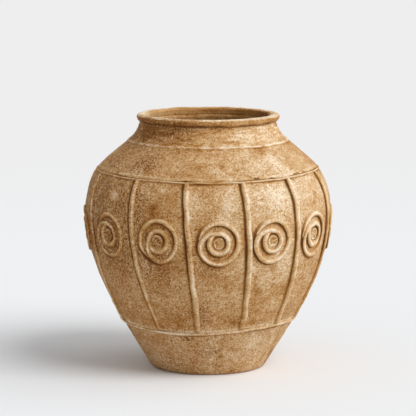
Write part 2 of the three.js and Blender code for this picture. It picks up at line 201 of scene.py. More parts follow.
@dataclass(frozen=True, eq=False)
class Outline:
    """The outside of the wall, a smooth curve through its stations."""

    stations: tuple[Station, ...] = (
        Station(0, 89.8, 0.6),
        Station(76.3, 135.8, 0.58),
        Station(247.5, 192.4, 0),
        Station(316.2, 171.4, -0.76),
        Station(357.5, 125.9, -1.15),
        Station(388.7, 106.7, -0.15),
    )
    wall: float = 12

    @cache
    def at(self, height: float) -> tuple[float, float]:
        """The outer radius and the flare at a height.

        Args:
            height: above the floor.

        Returns:
            The radius, and what it gains per mm of height.
        """
        upper = 1
        while upper < len(self.stations) - 1 and self.stations[upper].height < height:
            upper += 1
        low, high = self.stations[upper - 1], self.stations[upper]
        rise = high.height - low.height
        s = (height - low.height) / rise
        radius = (
            (2 * s**3 - 3 * s**2 + 1) * low.radius
            + (s**3 - 2 * s**2 + s) * rise * low.flare
            + (3 * s**2 - 2 * s**3) * high.radius
            + (s**3 - s**2) * rise * high.flare
        )
        flare = (
            (6 * s**2 - 6 * s) * (low.radius - high.radius) / rise
            + (3 * s**2 - 4 * s + 1) * low.flare
            + (3 * s**2 - 2 * s) * high.flare
        )
        return radius, flare

    def inner(self, height: float) -> float:
        """The radius of the inside of the wall at a height."""
        radius, flare = self.at(height)
        return radius - self.wall * math.hypot(1, flare)

    def outward(self, angle: float, height: float) -> Vector:
        """The direction straight out of the wall."""
        flare = self.at(height)[1]
        return Vector((math.sin(angle), -math.cos(angle), -flare)).normalized()

    def point(self, angle: float, height: float) -> Vector:
        """A point on the wall."""
        radius = self.at(height)[0]
        return Vector((radius * math.sin(angle), -radius * math.cos(angle), height))

    def run(self, low: float, high: float, steps: int = 20) -> float:
        """The length along the wall from one height straight up to another."""
        course = [self.point(0, low + (high - low) * i / steps) for i in range(steps + 1)]
        return sum((after - before).length for before, after in zip(course, course[1:]))


OUTLINE = Outline()


# Where the laid clay goes


@dataclass(frozen=True)
class Wave:
    """One wave of a strip's wander round the pot."""

    count: int
    height: float
    peak_degrees: float

    def at(self, angle: float) -> float:
        """Its height at an angle."""
        return self.height * math.cos(self.count * (angle - math.radians(self.peak_degrees)))


@dataclass(frozen=True)
class RibLay:
    """How one rib was laid: degrees off its even place, its lean and its bow."""

    offset: float
    lean: float
    bow: float


@dataclass(frozen=True)
class RoundelLay:
    """How one roundel was laid: degrees it is turned, degrees aside, and mm above its place."""

    turned: float
    aside: float
    above: float


@dataclass(frozen=True, eq=False)
class Layout:
    """The course of the ribs, strips and roundels on the wall, as the frame has them."""

    panels: int = 13
    first_rib_degrees: float = -8.3
    shoulder: float = 316.2
    band: float = 76.3
    neck: float = 357.5
    seat: float = 388.7
    rib_width: float = 9.5
    roundel_height: float = 223.1
    roundel_stretch: float = 1.07
    pellet_radius: float = 9.2
    coil_width: float = 8.6
    coil_groove: float = 6.2
    pellet_groove: float = 1.4
    bead_drop: float = 3.2
    band_width: float = 5.5
    bead_width: float = 3.0
    strip_width: float = 6.5
    strip_gap: float = 0.8
    band_waves: tuple[Wave, ...] = (Wave(1, 0.6, 75), Wave(2, 2.1, 60), Wave(3, 1.6, 47))
    bead_waves: tuple[Wave, ...] = (Wave(1, 0.8, 138), Wave(2, 1.1, 82), Wave(3, 0.5, -48))
    lays: tuple[RibLay, ...] = tuple(
        RibLay(*lay)
        for lay in (
            (0, 4.5, 0.2), (0, 4.8, 0), (-1.1, 5.2, 0.2), (-1.7, 0.8, 2.1), (0.9, 1.2, 0.6),
            (-1.4, 3.5, -0.6), (-2.2, 4.2, 0.4), (-4.4, 2.8, 0.8), (-5, 4.4, -0.4),
            (-7.2, 3.4, 0.6), (-8.7, 1, 0.2), (-5.3, -2, 4.3), (0.3, 4.7, -0.8),
        )
    )
    roundels: tuple[RoundelLay, ...] = tuple(
        RoundelLay(*lay)
        for lay in (
            (0, 0, -0.8), (-10, -1.4, 0), (14, -1.5, 1.4), (20, 0.6, -1), (-15, 0, 0.8),
            (6, 0.4, 1.6), (24, -0.5, -0.6), (-20, 0.9, 0.4), (10, -0.7, -1.2), (-5, 0.3, 1.2),
            (16, -0.4, -0.5), (-12, 0, 2.8), (70, -0.4, 1),
        )
    )

    def band_height(self, angle: float) -> float:
        """The height of the lower band's middle at an angle."""
        return self.band + sum(wave.at(angle) for wave in self.band_waves)

    def bead_height(self, angle: float) -> float:
        """The height of the shoulder bead's middle at an angle."""
        return self.shoulder - self.bead_drop + sum(wave.at(angle) for wave in self.bead_waves)

    def strip_height(self, angle: float) -> float:
        """The height of the shoulder strip's middle at an angle."""
        spacing = (self.strip_width + self.bead_width) / 2 + self.strip_gap
        return self.bead_height(angle) + spacing / math.hypot(1, OUTLINE.at(self.shoulder)[1])

    @cache
    def rib_angle(self, panel: int, height: float) -> float:
        """The angle of a rib at a height.

        Args:
            panel: the rib's number, from 0 at the front.
            height: above the floor.

        Returns:
            The angle round the pot.
        """
        lay = self.lays[panel]
        down = (self.shoulder - height) / (self.shoulder - self.band)
        # the bow's mean is 0, so that a rib bows without moving aside
        bowed = lay.bow * (4 * down * (1 - down) - 2 / 3)
        degrees = self.first_rib_degrees + lay.offset + lay.lean * (down - 0.5) + bowed
        return math.radians(degrees) + panel * TURN / self.panels

    @cache
    def roundel_angle(self, panel: int) -> float:
        """The angle of a roundel's middle, about midway between its two ribs.

        Args:
            panel: the roundel's number, from 0 right of the front rib.

        Returns:
            The angle round the pot.
        """
        left = self.rib_angle(panel, self.roundel_height)
        lapped = TURN if panel == self.panels - 1 else 0
        right = self.rib_angle((panel + 1) % self.panels, self.roundel_height) + lapped
        return (left + right) / 2 + math.radians(self.roundels[panel].aside)

    def roundel_middle(self, panel: int) -> float:
        """The height of a roundel's middle."""
        return self.roundel_height + self.roundels[panel].above

    def inner_reach(self) -> float:
        """How far the cord's first turn lies from a roundel's middle."""
        return self.pellet_radius + self.pellet_groove + self.coil_width / 2

    def outer_reach(self) -> float:
        """How far the cord's second turn lies from a roundel's middle."""
        return self.inner_reach() + self.coil_width + self.coil_groove

    def spot(self, panel: int, x: float, y: float) -> tuple[float, float]:
        """Finds a place measured from the middle of a roundel.

        Args:
            panel: the roundel's number.
            x: to the right along the wall.
            y: up the wall.

        Returns:
            The angle and height.
        """
        radius = OUTLINE.at(self.roundel_height)[0]
        height = self.roundel_middle(panel) + y * self.roundel_stretch
        return self.roundel_angle(panel) + x / radius, height


LAYOUT = Layout()


# Stains and blooms


@dataclass(frozen=True)
class Blotch:
    """One cloud on the wall: its middle, its size and its strength."""

    degrees: float
    height: float
    wide: float
    tall: float
    amount: float


@dataclass(frozen=True, eq=False)
class Clouds:
    """All of the clouds on the wall: those that the firing left, and painted light and shade.

    In the clouds of firing and painted light, a strength below 0 is browner and one above it is
    paler. Red stains and painted shade only add red.
    """

    reach: float = 2.6
    fire: tuple[Blotch, ...] = tuple(
        Blotch(*blotch)
        for blotch in (
            # painted light and shade: a broad sweep from brown on the shaded left to pale on the
            # lit right
            (42, 292, 200, 52, 0.2), (50, 376, 96, 22, 0.24), (20, 337, 130, 16, 0.1),
            (35, 140, 120, 70, 0.1), (-64, 226, 80, 46, -0.2), (-34, 200, 70, 44, -0.09),
            (-54, 376, 58, 15, -0.42), (-58, 286, 90, 26, -0.12), (46, 284, 66, 26, 0.14),
            (42, 205, 120, 50, 0.16), (54, 36, 80, 34, 0.12), (76, 284, 44, 30, 0.12),
            (-50, 110, 70, 40, 0.06), (-78, 222, 50, 40, -0.3),
            # the back and the far sides
            (118, 210, 60, 56, -0.16), (-118, 150, 56, 50, -0.18), (165, 300, 80, 24, -0.2),
            (-152, 60, 44, 20, -0.2), (100, 110, 50, 34, 0.16), (150, 236, 46, 40, 0.18),
            (-140, 296, 54, 26, 0.2), (-100, 340, 50, 18, 0.16), (180, 140, 60, 40, 0.1),
            # single clouds and rubbed places
            (-25, 385, 22, 7, -0.22), (12, 386, 22, 5, -0.18), (-38, 334, 20, 11, -0.26),
            (-62, 326, 26, 10, -0.04), (-34, 262, 12, 30, -0.14), (-24, 186, 22, 12, -0.18),
            (-4, 106, 7, 16, -0.22), (-15, 66, 9, 4, -0.3), (1.5, 41, 13, 7, -0.26),
            (3, 182, 20, 16, -0.12), (-50, 287, 13, 9, 0.34), (-20, 300, 10, 9, 0.18),
            (14, 284, 22, 18, 0.14), (33, 292, 24, 20, 0.16), (40, 336, 40, 12, 0.12),
            (34, 57, 16, 12, 0.2), (-6, 284, 9, 22, 0.12),
        )
    )
    rust: tuple[Blotch, ...] = tuple(
        Blotch(*blotch)
        for blotch in (
            # red stains; the broad ones left of the front also paint shade, browning the shaded
            # side
            (-33, 361, 17, 2.6, 0.9), (-44, 56, 18, 14, 0.5), (-30, 36, 60, 30, 0.3),
            (-38, 120, 60, 34, 0.22), (-2, 160, 26, 30, 0.25), (22, 120, 22, 16, 0.25),
            (-26, 268, 24, 22, 0.25), (-20, 184, 26, 10, 0.4), (-48, 168, 26, 24, 0.35),
            (-30, 90, 40, 10, 0.3), (140, 60, 30, 20, 0.5), (-120, 240, 40, 30, 0.35),
        )
    )

    @cache
    def row(self, height: float) -> list[tuple[Tone, float, float, float]]:
        """The clouds that reach a height.

        Args:
            height: above the floor.

        Returns:
            The tone, angle and breadth of each one, and how strong it is at that height.
        """
        found = []
        for tone, blotches in ((Tone.FIRE, self.fire), (Tone.RUST, self.rust)):
            for blotch in blotches:
                off = height - blotch.height
                if abs(off) < self.reach * blotch.tall:
                    breadth = blotch.wide / OUTLINE.at(blotch.height)[0]
                    strength = blotch.amount * bell(off, blotch.tall)
                    found.append((tone, math.radians(blotch.degrees), breadth, strength))
        return found

    def at(self, angle: float, height: float) -> dict[Tone, float]:
        """The tones of the clouds at a point of the wall.

        Args:
            angle: round the pot.
            height: above the floor.

        Returns:
            How strong the firing and painted light, and the red stains and painted shade, are
            there.
        """
        found = {Tone.FIRE: 0.0, Tone.RUST: 0.0}
        for tone, middle, breadth, strength in self.row(round(height, 1)):
            off = apart(angle, middle)
            if abs(off) < self.reach * breadth:
                found[tone] += strength * bell(off, breadth)
        return found


CLOUDS = Clouds()


# The wall's hand-made surface


@dataclass(frozen=True)
class Pit:
    """One hole left by a stone or a bubble in the clay."""

    degrees: float
    height: float
    radius: float
    depth: float


@dataclass(frozen=True)
class Skin:
    """The unevenness of a hand-built wall, and the painted shade and painted highlight on it.

    The skirt is the clay drawn up against what is laid on the wall. The painted shade is thickest
    on the side of a cord away from the lamps, thinner on the lower wall, and patchy beside the
    strips.
    """

    lumps: tuple[Lumps, ...] = (
        Lumps(0.5, 62),
        Lumps(0.34, 21, 3),
        Lumps(0.2, 9, 7),
        Lumps(0.12, 5, 11),
    )
    pit_spacing: float = 15
    pit_radius: float = 2.9
    pit_depth: float = 0.75
    unpitted: float = 0.35
    skirt: float = 0.55
    skirt_reach: float = 3.6
    near: float = 20
    neck_step: float = 0.6
    # painted shade beside the cords: its reach, its lit-side and rib shares, and its thinning
    # lower down
    wash_reach: float = 1.7
    windward_share: float = 0.12
    rib_share: float = 1.1
    least_kept: float = 0.45
    rubbed_below: float = 95
    whole_above: float = 215
    # painted highlight on the wall just above the lower band
    slip_most: float = 0.75
    slip_above: float = 3
    slip_width: float = 3.5
    pits: tuple[Pit, ...] = (
        Pit(-30.5, 286, 3.2, 1.4),
        Pit(-20, 285, 2.6, 1.0),
        Pit(-14, 63, 5.0, 1.6),
        Pit(-17, 61.5, 3.4, 1.2),
    )

    def kept(self, height: float) -> float:
        """How much of the painted shade a height keeps: the least low down on the wall."""
        whole = smooth(self.rubbed_below, self.whole_above, height)
        return self.least_kept + (1 - self.least_kept) * whole

    def slip(self, angle: float, height: float) -> float:
        """How much painted highlight lies on the wall just above the lower band."""
        above = height - LAYOUT.band_height(angle)
        return self.slip_most * bell(above - self.slip_above, self.slip_width)

    def edges(self, angle: float, height: float) -> list[tuple[float, float]]:
        """The laid cords near a point of the wall.

        Args:
            angle: round the pot.
            height: above the floor.

        Returns:
            For each cord, the distance to its edge and how much painted shade lies beside it,
            which is most on the side away from the lamps.
        """
        radius, flare = OUTLINE.at(height)
        found = []
        for middle, width in (
            (LAYOUT.band_height(angle), LAYOUT.band_width),
            (LAYOUT.bead_height(angle), LAYOUT.bead_width),
            (LAYOUT.strip_height(angle), LAYOUT.strip_width),
            (LAYOUT.neck, self.neck_step),
        ):
            off = (height - middle) * math.hypot(1, flare)
            if abs(off) < self.near:
                # painted shade under the strips and the neck's edge comes and goes round the pot,
                # and is faint above them
                patchy = 0.55 + 0.35 * math.sin(3.2 * angle + 2.4) * math.cos(5.1 * angle)
                found.append((abs(off) - width / 2, patchy if off < 0 else self.windward_share))
        if LAYOUT.band < height < LAYOUT.shoulder:
            # the panel that the point is in, and those beside it, as ribs lean into them
            first = math.radians(LAYOUT.first_rib_degrees)
            here = math.floor((angle - first) / TURN * LAYOUT.panels)
            for panel in range(here - 1, here + 3):
                off = apart(angle, LAYOUT.rib_angle(panel % LAYOUT.panels, height)) * radius
                if abs(off) < self.near:
                    # painted shade is strong left of a rib, away from the lamps, and faint on its
                    # right
                    share = self.rib_share * self.kept(height) if off < 0 else self.windward_share
                    found.append((abs(off) - LAYOUT.rib_width / 2, share))
                found += self.ring_edges(panel % LAYOUT.panels, angle, height)
        return found

    def ring_edges(self, panel: int, angle: float, height: float) -> list[tuple[float, float]]:
        """The edges of a roundel's two rings near a point.

        Args:
            panel: the roundel's number.
            angle: round the pot.
            height: above the floor.

        Returns:
            Distances and shares, as edges() gives them.
        """
        x = apart(angle, LAYOUT.roundel_angle(panel)) * OUTLINE.at(LAYOUT.roundel_height)[0]
        y = (height - LAYOUT.roundel_middle(panel)) / LAYOUT.roundel_stretch
        reach, half = math.hypot(x, y), LAYOUT.coil_width / 2
        inner, outer = LAYOUT.inner_reach(), LAYOUT.outer_reach()
        if reach > outer + half + self.near:
            return []
        lee = (-LEE_LEFT * x - LEE_DOWN * y) / max(reach, 1.0)
        # painted shade on the flanks that face away from the lamps: beyond a ring on its side
        # away from them, and within one on its side towards them
        beyond = max(0.0, 0.36 + 0.7 * lee)
        within = max(0.0, 0.42 - 0.66 * lee)
        if reach > outer:
            return [(reach - outer - half, beyond)]
        if reach > inner:
            return [(reach - inner - half, beyond), (outer - half - reach, within)]
        return [(inner - half - reach, 0.2 + within)]

    def lift(self, place: Vector, angle: float, height: float, gap: float) -> float:
        """How far the wall stands out of its even outline at a point.

        Args:
            place: the point on the even outline.
            angle: round the pot.
            height: above the floor.
            gap: the distance to the nearest laid edge.

        Returns:
            The lift, out of the wall.
        """
        found = sum(lumps.at(place) for lumps in self.lumps)
        found += self.skirt * bell(max(0.0, gap), self.skirt_reach)
        distances, points = noise.voronoi(place / self.pit_spacing)
        chance = noise.cell(points[0] * 3.1)
        if chance > self.unpitted:
            radius = self.pit_radius * (0.55 + 0.45 * chance)
            found -= self.pit_depth * smooth(radius, 0.0, distances[0] * self.pit_spacing)
        for pit in self.pits:
            if abs(height - pit.height) < pit.radius:
                off = apart(angle, math.radians(pit.degrees)) * OUTLINE.at(height)[0]
                reach = math.hypot(off, height - pit.height)
                found -= pit.depth * smooth(pit.radius, 0.0, reach)
        return found

    def wash(self, edges: list[tuple[float, float]]) -> float:
        """How much painted shade lies on the wall near a point, given the cords' edges there."""
        found = [
            share * bell(max(0.0, gap), self.wash_reach * (0.6 + share)) for gap, share in edges
        ]
        return max(found, default=0.0)


SKIN = Skin()


# Finishes


def linear(hex_colour: str) -> tuple[float, ...]:
    """Turns an sRGB hex colour to the linear values that a node takes.

    Args:
        hex_colour: a colour such as "#c8a070".

    Returns:
        Linear red, green, blue and full alpha.
    """
    shares = [int(hex_colour[i : i + 2], 16) / 255 for i in (1, 3, 5)]
    turned = [s / 12.92 if s <= 0.04045 else ((s + 0.055) / 1.055) ** 2.4 for s in shares]
    return (*turned, 1.0)


def wire(owner: bpy.types.Material | bpy.types.World) -> Adder:
    """Clears the nodes of a material or a world, for new ones.

    Args:
        owner: the material or world.

    Returns:
        What adds a node to its tree: add(), with the tree already given.
    """
    owner.use_nodes = True
    owner.node_tree.nodes.clear()
    return partial(add, owner.node_tree)


def add(
    tree: bpy.types.NodeTree,
    kind: str,
    values: dict | None = None,
    out: int | str = 0,
    **settings: object,
) -> bpy.types.NodeSocket | None:
    """Adds a shader node to a tree, with its settings and what its inputs hold or are linked to.

    Args:
        tree: the material's or world's node tree.
        kind: the node's type, less its leading word ShaderNode.
        values: by input name or number, a value or another node's output.
        out: the name or number of the output that is wanted.
        **settings: properties of the node itself.

    Returns:
        That output, or None where the node has none.
    """
    node = tree.nodes.new(f"ShaderNode{kind}")
    for key, setting in settings.items():
        setattr(node, key, setting)
    for key, value in (values or {}).items():
        if isinstance(value, bpy.types.NodeSocket):
            tree.links.new(value, node.inputs[key])
        else:
            node.inputs[key].default_value = value
    return node.outputs[out] if node.outputs else None


def sum_up(
    new: Adder, start: float, *parts: tuple[bpy.types.NodeSocket, float, float]
) -> bpy.types.NodeSocket:
    """Adds up values, each less its own middle and times its weight.

    Args:
        new: what adds a node to the tree, from wire().
        start: what the sum starts from.
        *parts: a value, its middle and its weight.

    Returns:
        The sum.
    """
    total = start - sum(middle * weight for value, middle, weight in parts)
    for value, middle, weight in parts:
        total = new("Math", {0: value, 1: weight, 2: total}, operation="MULTIPLY_ADD")
    return total


@dataclass(frozen=True)
class Mottle:
    """One size of unevenness in the clay's face, drawn as noise.

    Its lumps are size millimetres apart. It has detail finer layers, as strong as roughness
    says, and swirl is how far it is stirred.
    """

    size: float
    detail: float
    roughness: float
    swirl: float

    def inputs(self, place: bpy.types.NodeSocket) -> dict[str, object]:
        """What the inputs of its noise node hold."""
        held = {"Vector": place, "Scale": 1 / (self.size * MM), "Detail": self.detail}
        return held | {"Roughness": self.roughness, "Distortion": self.swirl}


@dataclass(frozen=True)
class Earthenware:
    """Low-fired, unglazed earthenware, pinched and rolled by hand, then rubbed with pale slip.

    To the eye that is a dry, sandy face with no gloss, clouded from brown to cream by the firing
    and by painted light and shade, with painted shade in its creases, and painted highlight and
    pale slip on what stands proud. One level, from brown at 0 to cream at 1, is added up from
    the clouds, the brushing and the grain.
    """

    name: str
    paleness: float = 0.0
    wiping: float = 0.3
    sandy: float = 1.0
    relief: float = 1.0
    shades: tuple[tuple[float, str], ...] = (
        (0.0, "#6a390b"),
        (0.25, "#955c22"),
        (0.5, "#b78547"),
        (0.75, "#d5b387"),
        (1.0, "#f0dec4"),
    )
    # the painted shade's colour, the colour of red stains and painted shade, and the hollow's bare
    # clay
    umber: str = "#4c2c0c"
    rust: str = "#a86325"
    inside: str = "#c48f4e"
    cloud: Mottle = Mottle(42, 3, 0.55, 0.6)
    patch: Mottle = Mottle(15, 4, 0.6, 1.2)
    brush: Mottle = Mottle(7, 5, 0.66, 3.2)
    streak: Mottle = Mottle(4.2, 4, 0.6, 0.3)
    # the clay's sand is about half a millimetre, and is drawn as coarse as it needs to show
    grain: Mottle = Mottle(2.4, 2, 0.6, 1.6)
    grit: Mottle = Mottle(1.1, 2, 0.6, 0)
    speck_mm: float = 7
    bump_mm: float = 0.9
    streak_scale: tuple[float, float, float] = (0.16, 0.16, 1.0)

    def make(self) -> bpy.types.Material:
        """Builds the material.

        Returns:
            The material, which reads the tones that a piece carries.
        """
        material = bpy.data.materials.new(self.name)
        new = wire(material)
        face = self.face(new)
        rough = {"From Min": 0.3, "From Max": 0.7, "To Min": 0.8, "To Max": 0.96}
        clay = {
            "Base Color": self.colour(new, face),
            "Roughness": new("MapRange", {"Value": face["patch"]} | rough),
            "Normal": self.bump(new, face),
            "Specular IOR Level": 0.28,
        }
        new("OutputMaterial", {"Surface": new("BsdfPrincipled", clay)})
        return material

    def face(self, new: Adder) -> Sockets:
        """Adds the noises and tones that the rest is worked out from.

        Args:
            new: what adds a node to the tree.

        Returns:
            Their outputs by name, the tones under their own names.
        """
        place = new("TexCoord", out="Object")
        wiped = new("Mapping", {"Vector": place, "Scale": self.streak_scale})
        face = {
            "cloud": new("TexNoise", self.cloud.inputs(place)),
            "patch": new("TexNoise", self.patch.inputs(place)),
            "brush": new("TexNoise", self.brush.inputs(place)),
            "streak": new("TexNoise", self.streak.inputs(wiped)),
            "grain": new("TexNoise", self.grain.inputs(place)),
            "grit": new("TexNoise", self.grit.inputs(place)),
        }
        for tone in Tone:
            face[tone.value] = new("Attribute", out="Fac", attribute_name=tone.value)
        # pinholes and dark sand, thick in some places and few in others
        cells = new("TexVoronoi", {"Vector": place, "Scale": 1 / (self.speck_mm * MM)})
        holes = new("MapRange", {"Value": cells, "From Min": 0.24, "From Max": 0.1})
        sown = new("MapRange", {"Value": face["patch"], "From Min": 0.42, "From Max": 0.6})
        face["specks"] = new("Math", {0: holes, 1: sown}, operation="MULTIPLY")
        # painted shade and red stains are torn by the grain, and painted highlight and pale slip
        # are broken into patches
        torn = sum_up(new, 1.0, (face["grain"], 0.5, 1.8), (face["patch"], 0.5, 1.0))
        rubbed = sum_up(new, 0.95, (face["brush"], 0.5, 0.5), (face["patch"], 0.5, 0.6))
        for name, by in (("crevice", torn), ("rust", torn), ("crest", rubbed)):
            face[name] = new("Math", {0: face[name], 1: by}, operation="MULTIPLY")
        return face

    def level(self, new: Adder, face: Sockets) -> bpy.types.NodeSocket:
        """Adds up how pale the clay is.

        Args:
            new: what adds a node to the tree.
            face: the noises and tones, from face().

        Returns:
            The level, from brown at 0 to cream at 1.
        """
        # dark grains show all over, the most where the clay is brown, and pale ones only there
        smoky = {"From Min": 0.05, "From Max": -0.25, "To Max": 4.0}
        smoky = new("MapRange", {"Value": face["fire"]} | smoky)
        contrast = sum_up(new, 1.75 * self.sandy, (smoky, 0.0, self.sandy))
        flecks = new("MapRange", {"Value": face["grain"], "From Min": 0.34, "From Max": 0.55})
        flecks = sum_up(new, 0.0, (flecks, 0.76, 0.27))
        sand = new("Math", {0: flecks, 1: contrast}, operation="MULTIPLY")
        glints = new("MapRange", {"Value": face["grain"], "From Min": 0.5, "From Max": 0.66})
        glints = new("Math", {0: glints, 1: smoky}, operation="MULTIPLY")
        return sum_up(
            new,
            0.5 + self.paleness,
            (face["cloud"], 0.5, 0.5),
            (face["patch"], 0.5, 0.32),
            (face["brush"], 0.5, 0.95 * self.sandy),
            (face["streak"], 0.5, self.wiping),
            # the firing's clouds, with painted light and shade
            (face["fire"], 0.0, 1.0),
            (sand, 0.0, 1.0),
            (glints, 0.0, 0.02 * self.sandy),
            # painted highlight and pale slip raise the level, and painted shade lowers it
            (face["crest"], 0.0, 0.36),
            (face["crevice"], 0.0, -0.4),
            (face["specks"], 0.0, -0.45),
            (face["inside"], 0.0, -0.03),
        )

    def colour(self, new: Adder, face: Sockets) -> bpy.types.NodeSocket:
        """Turns the level to the clay's shades, and lays bare clay, red stains and painted shade
        over them.

        Args:
            new: what adds a node to the tree.
            face: the noises and tones, from face().

        Returns:
            The colour.
        """
        colour = new("ValToRGB", {"Fac": self.level(new, face)})
        stops = colour.node.color_ramp.elements
        for stop, (at, shade) in zip((stops[0], stops[1]), (self.shades[0], self.shades[-1])):
            stop.position, stop.color = at, linear(shade)
        for at, shade in self.shades[1:-1]:
            stops.new(at).color = linear(shade)
        hollow = {"Value": face["streak"], "From Min": 0.3, "From Max": 0.7, "To Max": 0.7}
        # red stains, with painted shade among them on the shaded left, then painted shade in dark
        # brown
        stain = {"Value": face["rust"], "From Min": 0.1, "From Max": 1.0, "To Max": 0.7}
        dirt = {"Value": face["crevice"], "From Min": 0.35, "From Max": 1.0, "To Max": 0.88}
        hollow = {0: new("MapRange", hollow), 1: face["inside"]}
        for share, over in (
            (new("Math", hollow, operation="MULTIPLY"), self.inside),
            (new("MapRange", stain), self.rust),
            (new("MapRange", dirt), self.umber),
        ):
            laid = {0: share, 6: colour, 7: linear(over)}
            colour = new("Mix", laid, out=2, data_type="RGBA")
        return colour

    def bump(self, new: Adder, face: Sockets) -> bpy.types.NodeSocket:
        """Adds the face's fine relief: sand, the marks of brushing and wiping, and pinholes.

        Args:
            new: what adds a node to the tree.
            face: the noises and tones, from face().

        Returns:
            The normal.
        """
        height = sum_up(
            new,
            0.0,
            (face["grain"], 0.0, 0.7),
            (face["grit"], 0.0, 0.3),
            (face["brush"], 0.0, 1.2),
            (face["streak"], 0.0, self.wiping),
            (face["specks"], 0.0, -0.8),
        )
        strength = 0.85 * self.relief
        values = {"Strength": strength, "Distance": self.bump_mm * MM, "Height": height}
        return new("Bump", values)


FINISHES = {
    # pinched and beaten: the sandiest face, clouded by the firing and by painted light and shade
    Slot.WALL: Earthenware("hand_built_earthenware_wall"),
    # the same, and a little paler where it stood in the ash
    Slot.FOOT: Earthenware("hand_built_earthenware_foot", paleness=0.08),
    # wiped round with a wet cloth, which leaves streaks and lays the sand flat
    Slot.NECK: Earthenware("wiped_earthenware_neck", wiping=1.0, relief=0.8, sandy=0.8),
    # rolled over by the palm: smoother, and darker from hands
    Slot.LIP: Earthenware("rolled_earthenware_lip", paleness=-0.05, wiping=0.5, sandy=0.7),
    # rolled between wet hands: less sand shows, and more of the pale slip stays
    Slot.STRIP: Earthenware("laid_earthenware_strip", paleness=0.04, sandy=0.6),
    Slot.RIB: Earthenware("rolled_earthenware_rib", paleness=0.03, sandy=0.55, relief=0.7),
    Slot.COIL: Earthenware("coiled_earthenware_cord", paleness=0.01, sandy=0.5, relief=0.6),
    # pressed in by the thumb: a dull face, a little darker as painted shade in the roundel's
    # hollow
    Slot.PELLET: Earthenware("pressed_earthenware_pellet", paleness=-0.03, sandy=0.8),
}


# Pieces of clay


@dataclass
class ClayPiece:
    """Something modelled in clay, which stands for one node of the frame."""

    node: str
    slot: Slot

    def shape(self, bm: bmesh.types.BMesh, layers: Layers) -> None:
        """Models the piece, in millimetres, and sets its tones.

        Args:
            bm: the mesh to model in.
            layers: its layer for each tone.
        """
        raise NotImplementedError

    def build(self, materials: dict[Slot, bpy.types.Material]) -> None:
        """Models and dresses the piece and sets it in the frame.

        Args:
            materials: the finish of each slot.
        """
        bm = bmesh.new()
        for tone in Tone:
            bm.verts.layers.float.new(tone.value)
        self.shape(bm, {tone: bm.verts.layers.float[tone.value] for tone in Tone})
        bmesh.ops.recalc_face_normals(bm, faces=bm.faces)
        bmesh.ops.scale(bm, vec=(MM, MM, MM), verts=bm.verts)
        for face in bm.faces:
            face.smooth = True
        mesh = bpy.data.meshes.new(f"clay_{self.node}")
        bm.to_mesh(mesh)
        bm.free()
        mesh.materials.append(materials[self.slot])
        piece = stand(mesh.name, mesh)
        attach(piece, "root")
        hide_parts(self.node)
        log.info("%s: %d faces", piece.name, len(mesh.polygons))


@dataclass
class TurnedSection(ClayPiece):
    """A section of the pot's wall, turned round the axis and then knocked about by hand.

    It is rubbed bare where it lifts by knob, and painted with shade where it sinks by hollow:
    each is where that starts and where it is full.
    """

    outer: Profile
    inner: Profile
    columns: int = 520
    knob: tuple[float, float] = (0.35, 1.1)
    hollow: tuple[float, float] = (-0.2, -0.9)
    # painted light and shade inside: paler on the left, which faces the lamps, browner on the
    # right
    sooted: float = -0.36
    throwing_ring: float = 0.3
    ring_spacing: float = 7.5
    ring_drift: Lumps = Lumps(2, 60, 5)
    inner_lumps: Lumps = Lumps(0.4, 24, 9)
    skin: Skin = SKIN

    def shape(self, bm: bmesh.types.BMesh, layers: Layers) -> None:
        """Spins the profile and then lifts each point as the hand left it.

        Args:
            bm: the mesh to model in.
            layers: its layer for each tone.
        """
        corners = [bm.verts.new((radius, 0, height)) for radius, height in self.outer + self.inner]
        for corner in corners[len(self.outer) :]:
            corner[layers[Tone.INSIDE]] = 1.0
        spin(bm, corners, self.columns, closed=self.outer[0][0] > 0)
        for vert in bm.verts:
            if vert[layers[Tone.INSIDE]] > 0.5:
                self.work_inside(vert, layers)
            else:
                self.work_outside(vert, layers)

    def work_outside(self, vert: bmesh.types.BMVert, layers: Layers) -> None:
        """Moves one point of the outer face and sets its tones.

        Args:
            vert: the point.
            layers: the tone layers.
        """
        angle, height = math.atan2(vert.co.x, -vert.co.y), vert.co.z
        edges = self.skin.edges(angle, height)
        gap = min((gap for gap, share in edges), default=99.0)
        lift = self.skin.lift(vert.co, angle, height, gap) * self.evenness(height)
        wash = self.skin.wash(edges)
        # painted shade beside the cords and where the wall sinks; pale wear on lumps, and painted
        # highlight just above the lower band
        rubbed = 0.35 * smooth(*self.knob, lift) * (1 - wash)
        vert[layers[Tone.CREVICE]] = wash + 0.5 * smooth(*self.hollow, lift)
        vert[layers[Tone.CREST]] = rubbed + self.skin.slip(angle, height)
        for tone, strength in CLOUDS.at(angle, height).items():
            vert[layers[tone]] = strength
        vert.co += OUTLINE.outward(angle, height) * lift

    def work_inside(self, vert: bmesh.types.BMVert, layers: Layers) -> None:
        """Gives a point of the inner face its place in the throwing rings, and painted light and
        shade.

        Args:
            vert: the point.
            layers: the tone layers.
        """
        height = vert.co.z
        radius = math.hypot(vert.co.x, vert.co.y)
        if radius < 1:
            return
        turned = height * TURN / self.ring_spacing + self.ring_drift.at(vert.co)
        out = self.throwing_ring * math.sin(turned) + self.inner_lumps.at(vert.co)
        away = Vector((vert.co.x / radius, vert.co.y / radius, 0))
        vert.co += away * out * self.evenness(height)
        # painted light and shade: paler on the left inside, browner on the right
        vert[layers[Tone.FIRE]] = self.sooted * away.x

    def evenness(self, height: float) -> float:
        """How much of the unevenness a height takes: all of it, but for the foot's edge."""
        return smooth(0, 8, height)


